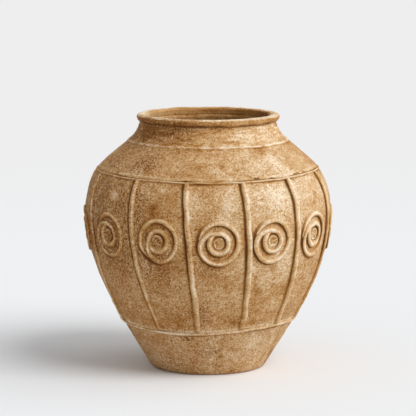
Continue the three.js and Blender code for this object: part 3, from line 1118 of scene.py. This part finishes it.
@dataclass
class Neck(TurnedSection):
    """The neck, whose lower edge stands proud of the shoulder and is rubbed with slip."""

    edge_slip: float = 0.95
    edge_above: float = 1.6
    edge_width: float = 1.5
    skin: Skin = Skin(
        lumps=(Lumps(0.4, 62), Lumps(0.25, 21, 3), Lumps(0.14, 9, 7), Lumps(0.12, 5, 11)),
        skirt=0.3,
    )

    def work_outside(self, vert: bmesh.types.BMVert, layers: Layers) -> None:
        """Moves one point of the neck and sets its tones, pale along its lower edge.

        Args:
            vert: the point.
            layers: the tone layers.
        """
        rise = vert.co.z - LAYOUT.neck
        super().work_outside(vert, layers)
        vert[layers[Tone.CREST]] += self.edge_slip * bell(rise - self.edge_above, self.edge_width)
        # painted shade lies under the edge and not on it
        vert[layers[Tone.CREVICE]] *= smooth(-0.4, 1.2, -rise)

    def evenness(self, height: float) -> float:
        """The neck is smoother than the belly, and even where the lip sits on it."""
        return 0.85 * (1 - smooth(LAYOUT.seat - 7, LAYOUT.seat - 0.5, height))


@dataclass
class Lip(TurnedSection):
    """The lip, a coil rolled over on the neck and flattened by the palm.

    mouth, crown and face are the radii between which the inside ends and the top and the outer
    face begin, and top, under and body are heights above the neck's seat. The lip is free to
    move past free_rise and free_reach, so that its seat and the mouth's wall stay in place.
    """

    girth: float = 112
    mouth: tuple[float, float] = (95, 100)
    crown: tuple[float, float] = (97, 101)
    face: tuple[float, float] = (101, 106)
    top: tuple[float, float] = (8.6, 10.2)
    under: tuple[float, float] = (0.5, 5)
    body: tuple[float, float] = (0, 10)
    free_rise: tuple[float, float] = (0, 5)
    free_reach: tuple[float, float] = (94.6, 99)
    shrink: float = 0.4
    droop: Lumps = Lumps(0.8, 46, 2)
    wander: Lumps = Lumps(0.8, 38, 8)
    nicks: Lumps = Lumps(0.22, 8, 6)
    chips: Lumps = Lumps(0.35, 6, 3)
    # breaks up the painted highlight on the lip's top
    rubbing: Lumps = Lumps(0.35, 14, 4)
    breaks: Lumps = Lumps(0.6, 18, 7)

    def work_outside(self, vert: bmesh.types.BMVert, layers: Layers) -> None:
        """Moves one point of the lip and sets its tones.

        Args:
            vert: the point.
            layers: the tone layers.
        """
        angle = math.atan2(vert.co.x, -vert.co.y)
        radius = math.hypot(vert.co.x, vert.co.y)
        away = Vector((vert.co.x / radius, vert.co.y / radius, 0))
        rise = vert.co.z - LAYOUT.seat
        outside, mouth = smooth(*self.face, radius), 1 - smooth(*self.mouth, radius)
        top = smooth(*self.top, rise) * smooth(*self.crown, radius)
        under = (1 - smooth(*self.under, rise)) * outside
        # painted highlight on the lip's top, which faces up, and painted shade under its outer
        # face, less on the lit right
        broken = 0.45 + self.breaks.at(vert.co) - 0.25 * math.sin(angle)
        vert[layers[Tone.CREST]] = 1.35 * (0.85 + self.rubbing.at(vert.co)) * top
        vert[layers[Tone.CREVICE]] = max(0.0, broken) * under
        vert[layers[Tone.INSIDE]] = mouth
        for tone, strength in CLOUDS.at(angle, LAYOUT.seat - 6).items():
            vert[layers[tone]] = 0.6 * strength * outside
        # painted light and shade in the mouth: paler on the left, browner on the right
        vert[layers[Tone.FIRE]] += self.sooted * away.x * mouth
        # broad waves are read at the lip's girth, so that all of a section moves as one
        around = away * self.girth
        drop = max(0.0, self.droop.at(around)) + abs(self.nicks.at(vert.co))
        out = self.wander.at(around) - abs(self.chips.at(vert.co)) - self.shrink
        free = smooth(*self.free_rise, rise) * smooth(*self.free_reach, radius)
        vert.co += Vector((0, 0, -drop * smooth(*self.body, rise))) + away * out * free


@dataclass(frozen=True)
class Ring:
    """One ring of a cord: its middle, its directions, its sizes and the wall's tones there.

    It also holds how far its across direction points away from the lamps, from -1 to 1, and how
    strong the painted shade beside it is.
    """

    middle: Vector
    across: Vector
    out: Vector
    half: float
    proud: float
    skew: float
    lee: float
    wash: float
    tones: dict[Tone, float]


@dataclass
class LaidCord(ClayPiece):
    """A cord of clay rolled between the hands and pressed along a course on the wall.

    Its root is pressed in below the wall. line is the width of the broken pale line on its top,
    pale slip with painted highlight, as a share of its half width, and two more of its sizes say
    how strong that line and the painted shade beside it are.
    """

    course: Callable[[float], tuple[float, float]]
    length: float
    width: float
    proud: float
    root: float = 1.6
    step: float = 1.4
    sides: int = 18
    closed: bool = False
    taper: Callable[[float], float] = lambda share: 1.0
    ridge: float = 0.85
    skew: float = 0.15
    lean: float = 0.0
    waver: float = 0.5
    unevenness: float = 0.1
    dents: Lumps = Lumps(0.22, 12, 3)
    nicks: Lumps = Lumps(0.12, 4.6, 1)
    flattened: float = 0.15
    seed: float = 0.0
    line: float = 0.36
    breaks: Lumps = Lumps(0.6, 21, 6)
    chips: Lumps = Lumps(0.3, 5, 2)
    # how strong the pale line of painted highlight and slip is, and the painted shade beside it
    crest: float = 0.8
    wash: float = 1.0

    def shape(self, bm: bmesh.types.BMesh, layers: Layers) -> None:
        """Cuts a cylinder into rings and lays these along the course.

        Args:
            bm: the mesh to model in.
            layers: its layer for each tone.
        """
        steps = max(8, round(self.length / self.step))
        bmesh.ops.create_cone(
            bm,
            cap_ends=not self.closed,
            segments=self.sides,
            radius1=1,
            radius2=1,
            depth=1,
        )
        long_edges = [e for e in bm.edges if abs(e.verts[0].co.z - e.verts[1].co.z) > 0.5]
        bmesh.ops.subdivide_edges(bm, edges=long_edges, cuts=steps - 1, use_grid_fill=True)
        rings = [self.ring(i / steps) for i in range(steps + 1)]
        for vert in bm.verts:
            ring = rings[round((vert.co.z + 0.5) * steps)]
            self.place(vert, ring, math.atan2(vert.co.y, vert.co.x), layers)
        if self.closed:
            bmesh.ops.remove_doubles(bm, verts=bm.verts, dist=0.05)

    def ring(self, share: float) -> Ring:
        """Works out where one ring of the cord lies.

        Args:
            share: how far along the cord it is, from 0 to 1.

        Returns:
            The ring.
        """
        angle, height = self.course(share)
        middle = OUTLINE.point(angle, height)
        reach = 0.5 / self.length
        before = OUTLINE.point(*self.course(share - reach))
        after = OUTLINE.point(*self.course(share + reach))
        out = OUTLINE.outward(angle, height)
        across = (after - before).normalized().cross(out).normalized()
        lee_way = Vector((-LEE_LEFT * math.cos(angle), -LEE_LEFT * math.sin(angle), -LEE_DOWN))
        size = self.taper(share)
        wide = 1 + Lumps(self.unevenness, 26, 2).at(middle, self.seed)
        high = 1 - self.unevenness / 2 + Lumps(self.unevenness, 17, 5).at(middle, self.seed)
        return Ring(
            middle=middle + across * Lumps(self.waver, 24).at(middle, self.seed),
            across=across,
            out=out,
            half=self.width / 2 * wide * (0.35 + 0.65 * size),
            proud=self.proud * high * size,
            skew=self.skew + Lumps(self.skew, 16, 9).at(middle, self.seed),
            lee=across.dot(lee_way),
            wash=self.wash * SKIN.kept(height),
            tones=CLOUDS.at(angle, height),
        )

    def place(self, vert: bmesh.types.BMVert, ring: Ring, turn: float, layers: Layers) -> None:
        """Sets one point of a ring and its tones.

        Args:
            vert: the point.
            ring: the ring that it is on.
            turn: where it is round the ring.
            layers: the tone layers.
        """
        side, up = math.cos(turn), math.sin(turn)
        if up >= 0:
            lift = ring.proud * up**self.ridge
            x = ring.half * (side + (self.lean * ring.lee - ring.skew) * up)
        else:
            lift = self.root * up
            x = ring.half * side
        spot = ring.middle + ring.across * x + ring.out * lift
        knocked = self.dents.at(spot, self.seed) + self.nicks.at(spot, self.seed) - self.flattened
        vert.co = spot + ring.out * knocked * min(1.0, self.proud / 3) * max(0.0, up)

        # painted highlight: the pale line lies a little towards the lamps from the top, and
        # painted shade fills the foot of the side away from them
        rise = max(0.0, lift) / self.proud
        lee = ring.lee * max(-1.0, min(1.0, 1.5 * side))
        windward = max(-1.0, min(1.0, 1.5 * ring.lee)) * 0.25
        line = bell(side + windward, self.line) if up > 0 else 0.0
        line *= max(0.0, 0.6 + self.breaks.at(spot, self.seed) + self.chips.at(spot))
        # pale slip on the upper cord, with more on the side facing the lamps as painted highlight
        rubbed = 0.35 * smooth(0.3, 0.9, rise) * (0.35 + 0.65 * smooth(-0.25, 0.75, -lee))
        low = 1 - smooth(0.25, 0.85, rise) if lee > 0 else 1 - smooth(0.06, 0.25, rise)
        vert[layers[Tone.CREST]] = self.crest * (line + rubbed)
        vert[layers[Tone.CREVICE]] = ring.wash * low * (0.12 + 0.95 * max(0.0, lee))
        for tone, strength in ring.tones.items():
            vert[layers[tone]] = 0.75 * strength


@dataclass
class Pellet(ClayPiece):
    """The flat pellet pressed into the middle of a roundel, pitted by the thumb."""

    panel: int
    rim: float = 1.5
    dish: float = 0.9
    root: float = 1.4
    columns: int = 44
    outline: Lumps = Lumps(0.07, 14)
    face: Lumps = Lumps(0.5, 3.6)

    def shape(self, bm: bmesh.types.BMesh, layers: Layers) -> None:
        """Spins the pellet flat and lays it on the wall.

        Args:
            bm: the mesh to model in.
            layers: its layer for each tone.
        """
        radius = LAYOUT.pellet_radius
        profile = [(share / 10, self.dish) for share in range(6)]
        profile += [(0.6, self.dish * 1.1), (0.7, self.rim * 0.9), (0.79, self.rim)]
        profile += [(0.88, self.rim * 0.86), (0.96, self.rim * 0.5), (1.0, 0)]
        profile += [(1.0, -self.root), (0, -self.root)]
        corners = [bm.verts.new((share * radius, 0, lift)) for share, lift in profile]
        spin(bm, corners, self.columns)
        seed = self.panel * 1.7
        angle, height = LAYOUT.spot(self.panel, 0, 0)
        out = OUTLINE.outward(angle, height)
        tones = CLOUDS.at(angle, height)
        for vert in bm.verts:
            flat = vert.co.copy()
            shift = 1 + self.outline.at(flat * 2, seed)
            laid = LAYOUT.spot(self.panel, flat.x * shift, flat.y * shift)
            spot = OUTLINE.point(*laid) + OUTLINE.outward(*laid) * flat.z
            knocked = self.face.at(spot, seed) if flat.z > 0 else 0.0
            vert.co = spot + out * knocked
            reach = math.hypot(flat.x, flat.y) / radius
            # painted highlight on the rim, most at its lower left, which faces the lamps; painted
            # shade round its edge, most at the upper right, and in its dents
            windward = (LEE_LEFT * flat.x + LEE_DOWN * flat.y) / radius
            worn = 0.5 * smooth(-0.1, -0.5, knocked)
            vert[layers[Tone.CREST]] = (0.6 - 0.5 * windward) * bell(reach - 0.78, 0.12)
            vert[layers[Tone.CREVICE]] = (0.55 + 0.45 * windward) * smooth(0.8, 1.0, reach) + worn
            for tone, strength in tones.items():
                vert[layers[tone]] = strength


# Sub-assemblies


@dataclass(frozen=True)
class Vessel:
    """The wall of the urn: foot, belly, shoulder, neck and lip, built up in that order."""

    row: float = 2.2
    inner_row: float = 5.0
    fine_row: float = 1.6
    floor: float = 14
    cove: float = 14
    ring: float = 16
    recess: float = 3
    edge: float = 4
    lap: float = 0.6
    neck_proud: float = 1.5
    neck_edge: float = 8
    lip_inner: float = 94.57
    lip_crest: float = 106
    lip_outer: float = 112.4
    lip_rise: float = 11.3
    lip_outer_round: float = 3.4
    lip_inner_round: float = 3.2

    def rows(self, low: float, high: float, spacing: float) -> list[float]:
        """Even heights from low to high, about a spacing apart."""
        count = max(2, round(abs(high - low) / spacing))
        return [low + (high - low) * i / count for i in range(count + 1)]

    def outside(self, low: float, high: float) -> Profile:
        """The outer wall's profile, with its rows closer together where it leans.

        Args:
            low: the height that it starts from.
            high: the height that it ends at.

        Returns:
            Its points.
        """
        heights = [low]
        while heights[-1] < high - 0.1:
            flare = OUTLINE.at(heights[-1])[1]
            heights.append(min(high, heights[-1] + self.row / math.hypot(1, flare)))
        if high - heights[-2] < self.row * 0.4:
            del heights[-2]
        return [(OUTLINE.at(z)[0], z) for z in heights]

    def inside(self, high: float, low: float) -> Profile:
        """The inner wall's profile, from the top down."""
        return [(OUTLINE.inner(z), z) for z in self.rows(high, low, self.inner_row)]

    def foot(self) -> TurnedSection:
        """The foot, from the middle of its underside out and up, and back in to the floor.

        Returns:
            The foot's section.
        """
        start = OUTLINE.at(0)[0]
        ring, edge = start - self.ring, start - self.edge
        # the recess, the flat foot ring, and its blunt outer edge
        outer = [(0.0, self.recess), (ring - self.recess, self.recess), (ring - 1, 0.5)]
        outer += [(ring, 0.0), (edge - 4, 0.0), (edge, 0.0)]
        for turn in map(math.radians, (22.5, 45, 67.5)):
            x, y = self.edge * math.sin(turn), self.edge * (1 - math.cos(turn))
            outer.append((edge + x * 1.1, y * 0.9))
        outer += self.outside(self.edge, LAYOUT.band)
        # the inside of the wall, the cove and the floor
        inside = OUTLINE.inner(self.floor)
        inner = self.inside(LAYOUT.band, self.floor + self.cove)
        inner += [(inside - 2, self.floor + 5), (inside - 6, self.floor + 1.6)]
        inner += [(inside - self.cove, self.floor), (inside * 0.5, self.floor), (0.0, self.floor)]
        return TurnedSection("foot_section", Slot.FOOT, outer, inner)

    def wall(self, node: str, low: float, high: float) -> TurnedSection:
        """A plain section of the wall, from one height to another."""
        outer, inner = self.outside(low, high), self.inside(high, low)
        return TurnedSection(node, Slot.WALL, outer, inner)

    def neck(self) -> Neck:
        """The neck, with its lower edge proud of the shoulder.

        Returns:
            The neck's section.
        """
        bottom, top = LAYOUT.neck, LAYOUT.seat
        outer = [(OUTLINE.at(bottom)[0] - 1, bottom - self.lap)]
        for z in self.rows(bottom, top, self.fine_row):
            fade = 1 - smooth(bottom, bottom + self.neck_edge, z)
            blunt = math.sqrt(min(1.0, (z - bottom + 0.15) / 1.4))
            outer.append((OUTLINE.at(z)[0] + self.neck_proud * fade * blunt, z))
        return Neck("neck_section", Slot.NECK, outer, self.inside(top, bottom - self.lap))

    def quarter(
        self, middle: tuple[float, float], wide: float, tall: float, start: float, steps: int
    ) -> Profile:
        """Points of a quarter of an ellipse, anticlockwise.

        Args:
            middle: the ellipse's centre, as radius and height.
            wide: its reach across.
            tall: its reach up.
            start: the angle at which the quarter starts, in degrees.
            steps: how many points it has.

        Returns:
            The points, the quarter's first one included and its last one left out.
        """
        turns = [math.radians(start + 90 * i / steps) for i in range(steps)]
        return [(middle[0] + wide * math.cos(t), middle[1] + tall * math.sin(t)) for t in turns]

    def lip(self) -> Lip:
        """The lip, which leans out to a round edge, with a broad top that dips to the mouth.

        Returns:
            The lip's section.
        """
        seat = LAYOUT.seat
        neck = OUTLINE.at(seat)[0]
        edge = seat + self.lip_rise - self.lip_outer_round
        dip = seat + self.lip_rise - self.lip_inner_round
        reach = self.lip_outer - self.lip_crest
        depth = self.lip_crest - self.lip_inner
        outer = self.quarter((neck, edge), self.lip_outer - neck, edge - seat, -90, 7)
        outer += self.quarter((self.lip_crest, edge), reach, self.lip_outer_round, 0, 6)
        outer += self.quarter((self.lip_crest, dip), depth, self.lip_inner_round, 90, 9)
        outer += [(self.lip_inner, z) for z in self.rows(dip, seat, self.fine_row)]
        inner = [((self.lip_inner + neck) / 2, seat)]
        return Lip("rim_coil", Slot.LIP, outer, inner)

    def pieces(self) -> list[ClayPiece]:
        """All of the wall's sections.

        Returns:
            The sections, from the foot up.
        """
        belly = self.wall("belly_section", LAYOUT.band, LAYOUT.shoulder)
        shoulder = self.wall("shoulder_section", LAYOUT.shoulder, LAYOUT.neck)
        return [self.foot(), belly, shoulder, self.neck(), self.lip()]


@dataclass(frozen=True)
class Strips:
    """The cords laid right round the pot: the lower band, the shoulder bead and strip."""

    band_proud: float = 3.0
    bead_proud: float = 2.2
    strip_proud: float = 1.1
    step: float = 1.8
    sides: int = 14

    def hoop(self, node: str, course: Callable[[float], float], **sizes: float) -> LaidCord:
        """A cord laid round the pot, from the back.

        Args:
            node: the frame's node.
            course: the height of its middle at each angle.
            **sizes: its width, how proud it is, and other sizes of the cord.

        Returns:
            The cord.
        """

        def follow(share: float) -> tuple[float, float]:
            """The angle and height at a share of the cord."""
            angle = math.pi + share * TURN
            return angle, course(angle)

        length = TURN * OUTLINE.at(course(0.0))[0]
        fixed = {"closed": True, "step": self.step, "sides": self.sides}
        return LaidCord(node, Slot.STRIP, follow, length, **fixed, **sizes)

    def pieces(self) -> list[ClayPiece]:
        """All of the strips.

        Returns:
            The three cords, from the lowest up.
        """
        band = {"width": LAYOUT.band_width, "proud": self.band_proud, "waver": 0.7, "line": 0.65}
        bead = {"width": LAYOUT.bead_width, "proud": self.bead_proud}
        strip = {"width": LAYOUT.strip_width, "proud": self.strip_proud, "ridge": 0.5, "seed": 4.0}
        return [
            self.hoop("lower_band", LAYOUT.band_height, crest=1.0, **band),
            self.hoop("shoulder_bead", LAYOUT.bead_height, **bead),
            self.hoop("shoulder_strip", LAYOUT.strip_height, crest=0.5, wash=0.4, **strip),
        ]


@dataclass(frozen=True)
class Ribs:
    """The ribs between the panels."""

    proud: float = 4.0
    end_gap: float = 0.8
    end_round: float = 4.0
    fading: int = 12

    def rib(self, panel: int) -> LaidCord:
        """One rib, from under the shoulder bead down to the lower band.

        Args:
            panel: its number, from 0 at the front.

        Returns:
            The rib.
        """
        middle = LAYOUT.rib_angle(panel, (LAYOUT.band + LAYOUT.shoulder) / 2)
        top = LAYOUT.bead_height(middle) - LAYOUT.bead_width / 2
        bottom = LAYOUT.band_height(middle) + LAYOUT.band_width / 2 + self.end_gap
        length = OUTLINE.run(top, bottom)

        def follow(share: float) -> tuple[float, float]:
            """The angle and height at a share of the rib."""
            height = top + (bottom - top) * share
            return LAYOUT.rib_angle(panel, height), height

        def taper(share: float) -> float:
            """The rib's size: less under the bead, round at its foot, and one of them fades.

            Args:
                share: how far down the rib it is.

            Returns:
                The share of its full size.
            """
            left = min(1.0, max(0.0, (1 - share) * length / self.end_round))
            start = 0.75 + 0.25 * smooth(0, 12, share * length)
            end = 1 - 0.45 * smooth(0.62, 0.95, share) if panel == self.fading else 1.0
            return math.sqrt(max(0.0, 1 - (1 - left) ** 2)) * start * end

        return LaidCord(
            f"rib_{panel + 1:02d}",
            Slot.RIB,
            follow,
            length,
            width=LAYOUT.rib_width,
            proud=self.proud,
            taper=taper,
            skew=0.22,
            line=0.44,
            seed=panel * 2.3,
            waver=0.7,
        )

    def pieces(self) -> list[ClayPiece]:
        """All of the ribs."""
        return [self.rib(panel) for panel in range(LAYOUT.panels)]


@dataclass(frozen=True)
class Roundels:
    """The coiled roundels, each a cord wound flat round a pellet or round its own end.

    The cord steps from its first ring to its second between step_start and step_end turns.
    """

    proud: float = 3.9
    step_start: float = 0.92
    step_end: float = 1.26
    turns: float = 2.14
    first_degrees: float = 120
    inner_tip: float = 0.6
    outer_tip: float = 0.3
    taper_share: float = 0.07
    hooked: int = 12
    hook_heading: float = 0.1
    hook_turns: float = 1.2
    hook_start: float = 8.6
    hook_end: float = 2.4
    hook_aside: float = 1.0
    hook_length: float = 42
    hook_width: float = 5.2
    hook_proud: float = 3.0

    def around(
        self, panel: int, heading: float, reach: float, aside: float = 0.0
    ) -> tuple[float, float]:
        """Finds a place round the middle of a roundel.

        Args:
            panel: the roundel's number.
            heading: the angle past the heading at which its cord starts.
            reach: how far from the middle it is.
            aside: how far it is then moved to the left.

        Returns:
            The angle and height on the pot.
        """
        heading += math.radians(self.first_degrees + LAYOUT.roundels[panel].turned)
        return LAYOUT.spot(panel, reach * math.cos(heading) - aside, reach * math.sin(heading))

    def taper(self, share: float) -> float:
        """The size of a coil, which falls off to a tip at either end.

        Args:
            share: how far along the coil it is.

        Returns:
            The share of its full size.
        """
        size = 1.0
        for tip, left in ((self.inner_tip, share), (self.outer_tip, 1 - share)):
            size *= tip + (1 - tip) * smooth(0, self.taper_share, left)
        return size

    def coil(self, panel: int) -> LaidCord:
        """One coil, which closes a ring round its middle and then steps out to a second one.

        Args:
            panel: its number.

        Returns:
            The coil.
        """
        inner, outer = LAYOUT.inner_reach(), LAYOUT.outer_reach()

        def follow(share: float) -> tuple[float, float]:
            """The angle and height at a share of the coil."""
            step = smooth(self.step_start, self.step_end, self.turns * share)
            return self.around(panel, self.turns * share * TURN, inner + (outer - inner) * step)

        return LaidCord(
            f"roundel_coil_{panel + 1:02d}",
            Slot.COIL,
            follow,
            self.turns * TURN * (inner + outer) / 2,
            width=LAYOUT.coil_width,
            proud=self.proud,
            taper=self.taper,
            skew=0.0,
            lean=0.25,
            line=0.34,
            crest=1.0,
            ridge=0.9,
            seed=panel * 1.9 + 40,
            waver=0.7,
            unevenness=0.14,
        )

    def hook(self, panel: int) -> LaidCord:
        """The cord's own end curled in to the middle, which one roundel has for its pellet.

        Args:
            panel: its number.

        Returns:
            The hook.
        """

        def follow(share: float) -> tuple[float, float]:
            """Follows the hook in to the middle of its roundel.

            Args:
                share: how far along the hook it is.

            Returns:
                The angle and height there.
            """
            heading = self.hook_heading - self.hook_turns * share * TURN
            reach = self.hook_start - (self.hook_start - self.hook_end) * share
            return self.around(panel, heading, reach, self.hook_aside)

        return LaidCord(
            f"roundel_pellet_{panel + 1:02d}",
            Slot.PELLET,
            follow,
            self.hook_length,
            width=self.hook_width,
            proud=self.hook_proud,
            taper=lambda share: 0.5 + 0.5 * smooth(0, 0.15, min(share, 1 - share)),
            skew=0.0,
            seed=3.3,
            waver=0.2,
            step=1.0,
        )

    def pellet(self, panel: int) -> ClayPiece:
        """What lies in the middle of a roundel: a pellet, or the cord's own hooked end."""
        if panel == self.hooked:
            return self.hook(panel)
        return Pellet(f"roundel_pellet_{panel + 1:02d}", Slot.PELLET, panel)

    def pieces(self) -> list[ClayPiece]:
        """All of the coils and their pellets."""
        makers = (self.coil, self.pellet)
        return [make(panel) for panel in range(LAYOUT.panels) for make in makers]


# The studio


@dataclass(frozen=True)
class Lamp:
    """A broad, far-off lamp: its light, its degrees right and up, and its degrees wide."""

    name: str
    strength: float
    azimuth: float
    elevation: float
    width: float

    def build(self) -> None:
        """Lights the lamp, which looks at the urn."""
        light = bpy.data.lights.new(self.name, "SUN")
        light.energy = self.strength
        light.angle = math.radians(self.width)
        lamp = stand(self.name, light)
        side, up = math.radians(self.azimuth), math.radians(self.elevation)
        level = math.cos(up)
        towards = Vector((math.sin(side) * level, -math.cos(side) * level, math.sin(up)))
        lamp.location = towards * 3
        lamp.rotation_euler = towards.to_track_quat("Z", "Y").to_euler()


@dataclass(frozen=True)
class Studio:
    """A pale sweep of floor, two broad soft lamps on the right, and the room's even light.

    Its floor turns into the backdrop's tone between fade_from and fade_to metres away.
    """

    floor_radius: float = 60.0
    floor_near: str = "#eef0f2"
    backdrop: float = 0.855
    fade_from: float = 0.5
    fade_to: float = 3.2
    room: float = 0.45
    lamps: tuple[Lamp, ...] = (
        Lamp("key_lamp", 1.85, 52, 46, 36),
        Lamp("side_lamp", 0.85, 98, 30, 60),
    )

    def build(self) -> None:
        """Builds the floor, the lamps and the world."""
        self.floor()
        for lamp in self.lamps:
            lamp.build()
        bpy.context.scene.world = self.world()

    def seen(self, new: Adder) -> bpy.types.NodeSocket:
        """Tells the eye's rays from the light of the room.

        Args:
            new: what adds a node to the tree.

        Returns:
            1 where the camera, a mirror or glass looks, and 0 for other rays.
        """
        path = new("LightPath").node.outputs
        first = {0: path["Is Camera Ray"], 1: path["Is Glossy Ray"]}
        both = {0: new("Math", first, operation="MAXIMUM"), 1: path["Is Transmission Ray"]}
        return new("Math", both, operation="MAXIMUM")

    def floor(self) -> bpy.types.Object:
        """The floor, which turns into the backdrop far behind the urn.

        Returns:
            The floor, in the scene.
        """
        bm = bmesh.new()
        bmesh.ops.create_circle(bm, cap_ends=True, segments=96, radius=self.floor_radius)
        mesh = bpy.data.meshes.new("studio_floor")
        bm.to_mesh(mesh)
        bm.free()
        # uncoated white paper, rolled out: an even, slightly cool white with no gloss
        material = bpy.data.materials.new("matte_pale_paper")
        new = wire(material)
        away = {0: new("TexCoord", out="Object")}
        away = new("VectorMath", away, out="Value", operation="LENGTH")
        far = {"Value": away, "From Min": self.fade_from, "From Max": self.fade_to}
        far = new("MapRange", far, interpolation_type="SMOOTHSTEP")
        share = new("Math", {0: far, 1: self.seen(new)}, operation="MULTIPLY")
        paper = new("BsdfDiffuse", {"Color": linear(self.floor_near), "Roughness": 0.0})
        glow = new("Emission", {"Color": (1, 1, 1, 1), "Strength": self.backdrop})
        new("OutputMaterial", {"Surface": new("MixShader", {0: share, 1: paper, 2: glow})})
        mesh.materials.append(material)
        return stand("studio_floor", mesh)

    def world(self) -> bpy.types.World:
        """The room's light, and behind it the backdrop's own tone.

        Returns:
            The world.
        """
        world = bpy.data.worlds.new("studio")
        new = wire(world)
        room, backdrop = (
            new("Background", {"Color": (1, 1, 1, 1), "Strength": strength})
            for strength in (self.room, self.backdrop)
        )
        mixed = new("MixShader", {0: self.seen(new), 1: room, 2: backdrop})
        new("OutputWorld", {"Surface": mixed})
        return world


@dataclass(frozen=True)
class PhotoCamera:
    """The photograph's long lens, a little above the urn."""

    place: tuple[float, float, float] = (0.0, -3.6834, 0.7696)
    tilt: float = 0.14045
    lens: float = 204.3
    sensor: float = 36
    shift: tuple[float, float] = (0.0, 0.0012)
    far: float = 200

    def build(self) -> None:
        """Creates the camera and makes it the scene's own."""
        data = bpy.data.cameras.new("photo_camera")
        data.lens = self.lens
        data.sensor_width = self.sensor
        data.shift_x, data.shift_y = self.shift
        data.clip_end = self.far
        camera = stand("photo_camera", data)
        camera.location = self.place
        camera.rotation_euler = (math.pi / 2 - self.tilt, 0, 0)
        bpy.context.scene.camera = camera


# The whole


def main() -> None:
    """Loads the frame, builds each sub-assembly round it, and sets up the studio."""
    logging.basicConfig(level=logging.INFO, format="%(message)s")
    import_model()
    bpy.context.scene.view_settings.view_transform = "Standard"
    PhotoCamera().build()
    Studio().build()
    materials = {slot: finish.make() for slot, finish in FINISHES.items()}
    pieces = Vessel().pieces() + Strips().pieces() + Ribs().pieces() + Roundels().pieces()
    for piece in pieces:
        piece.build(materials)
    log.info("%d pieces", len(pieces))


if __name__ == "__main__":
    main()
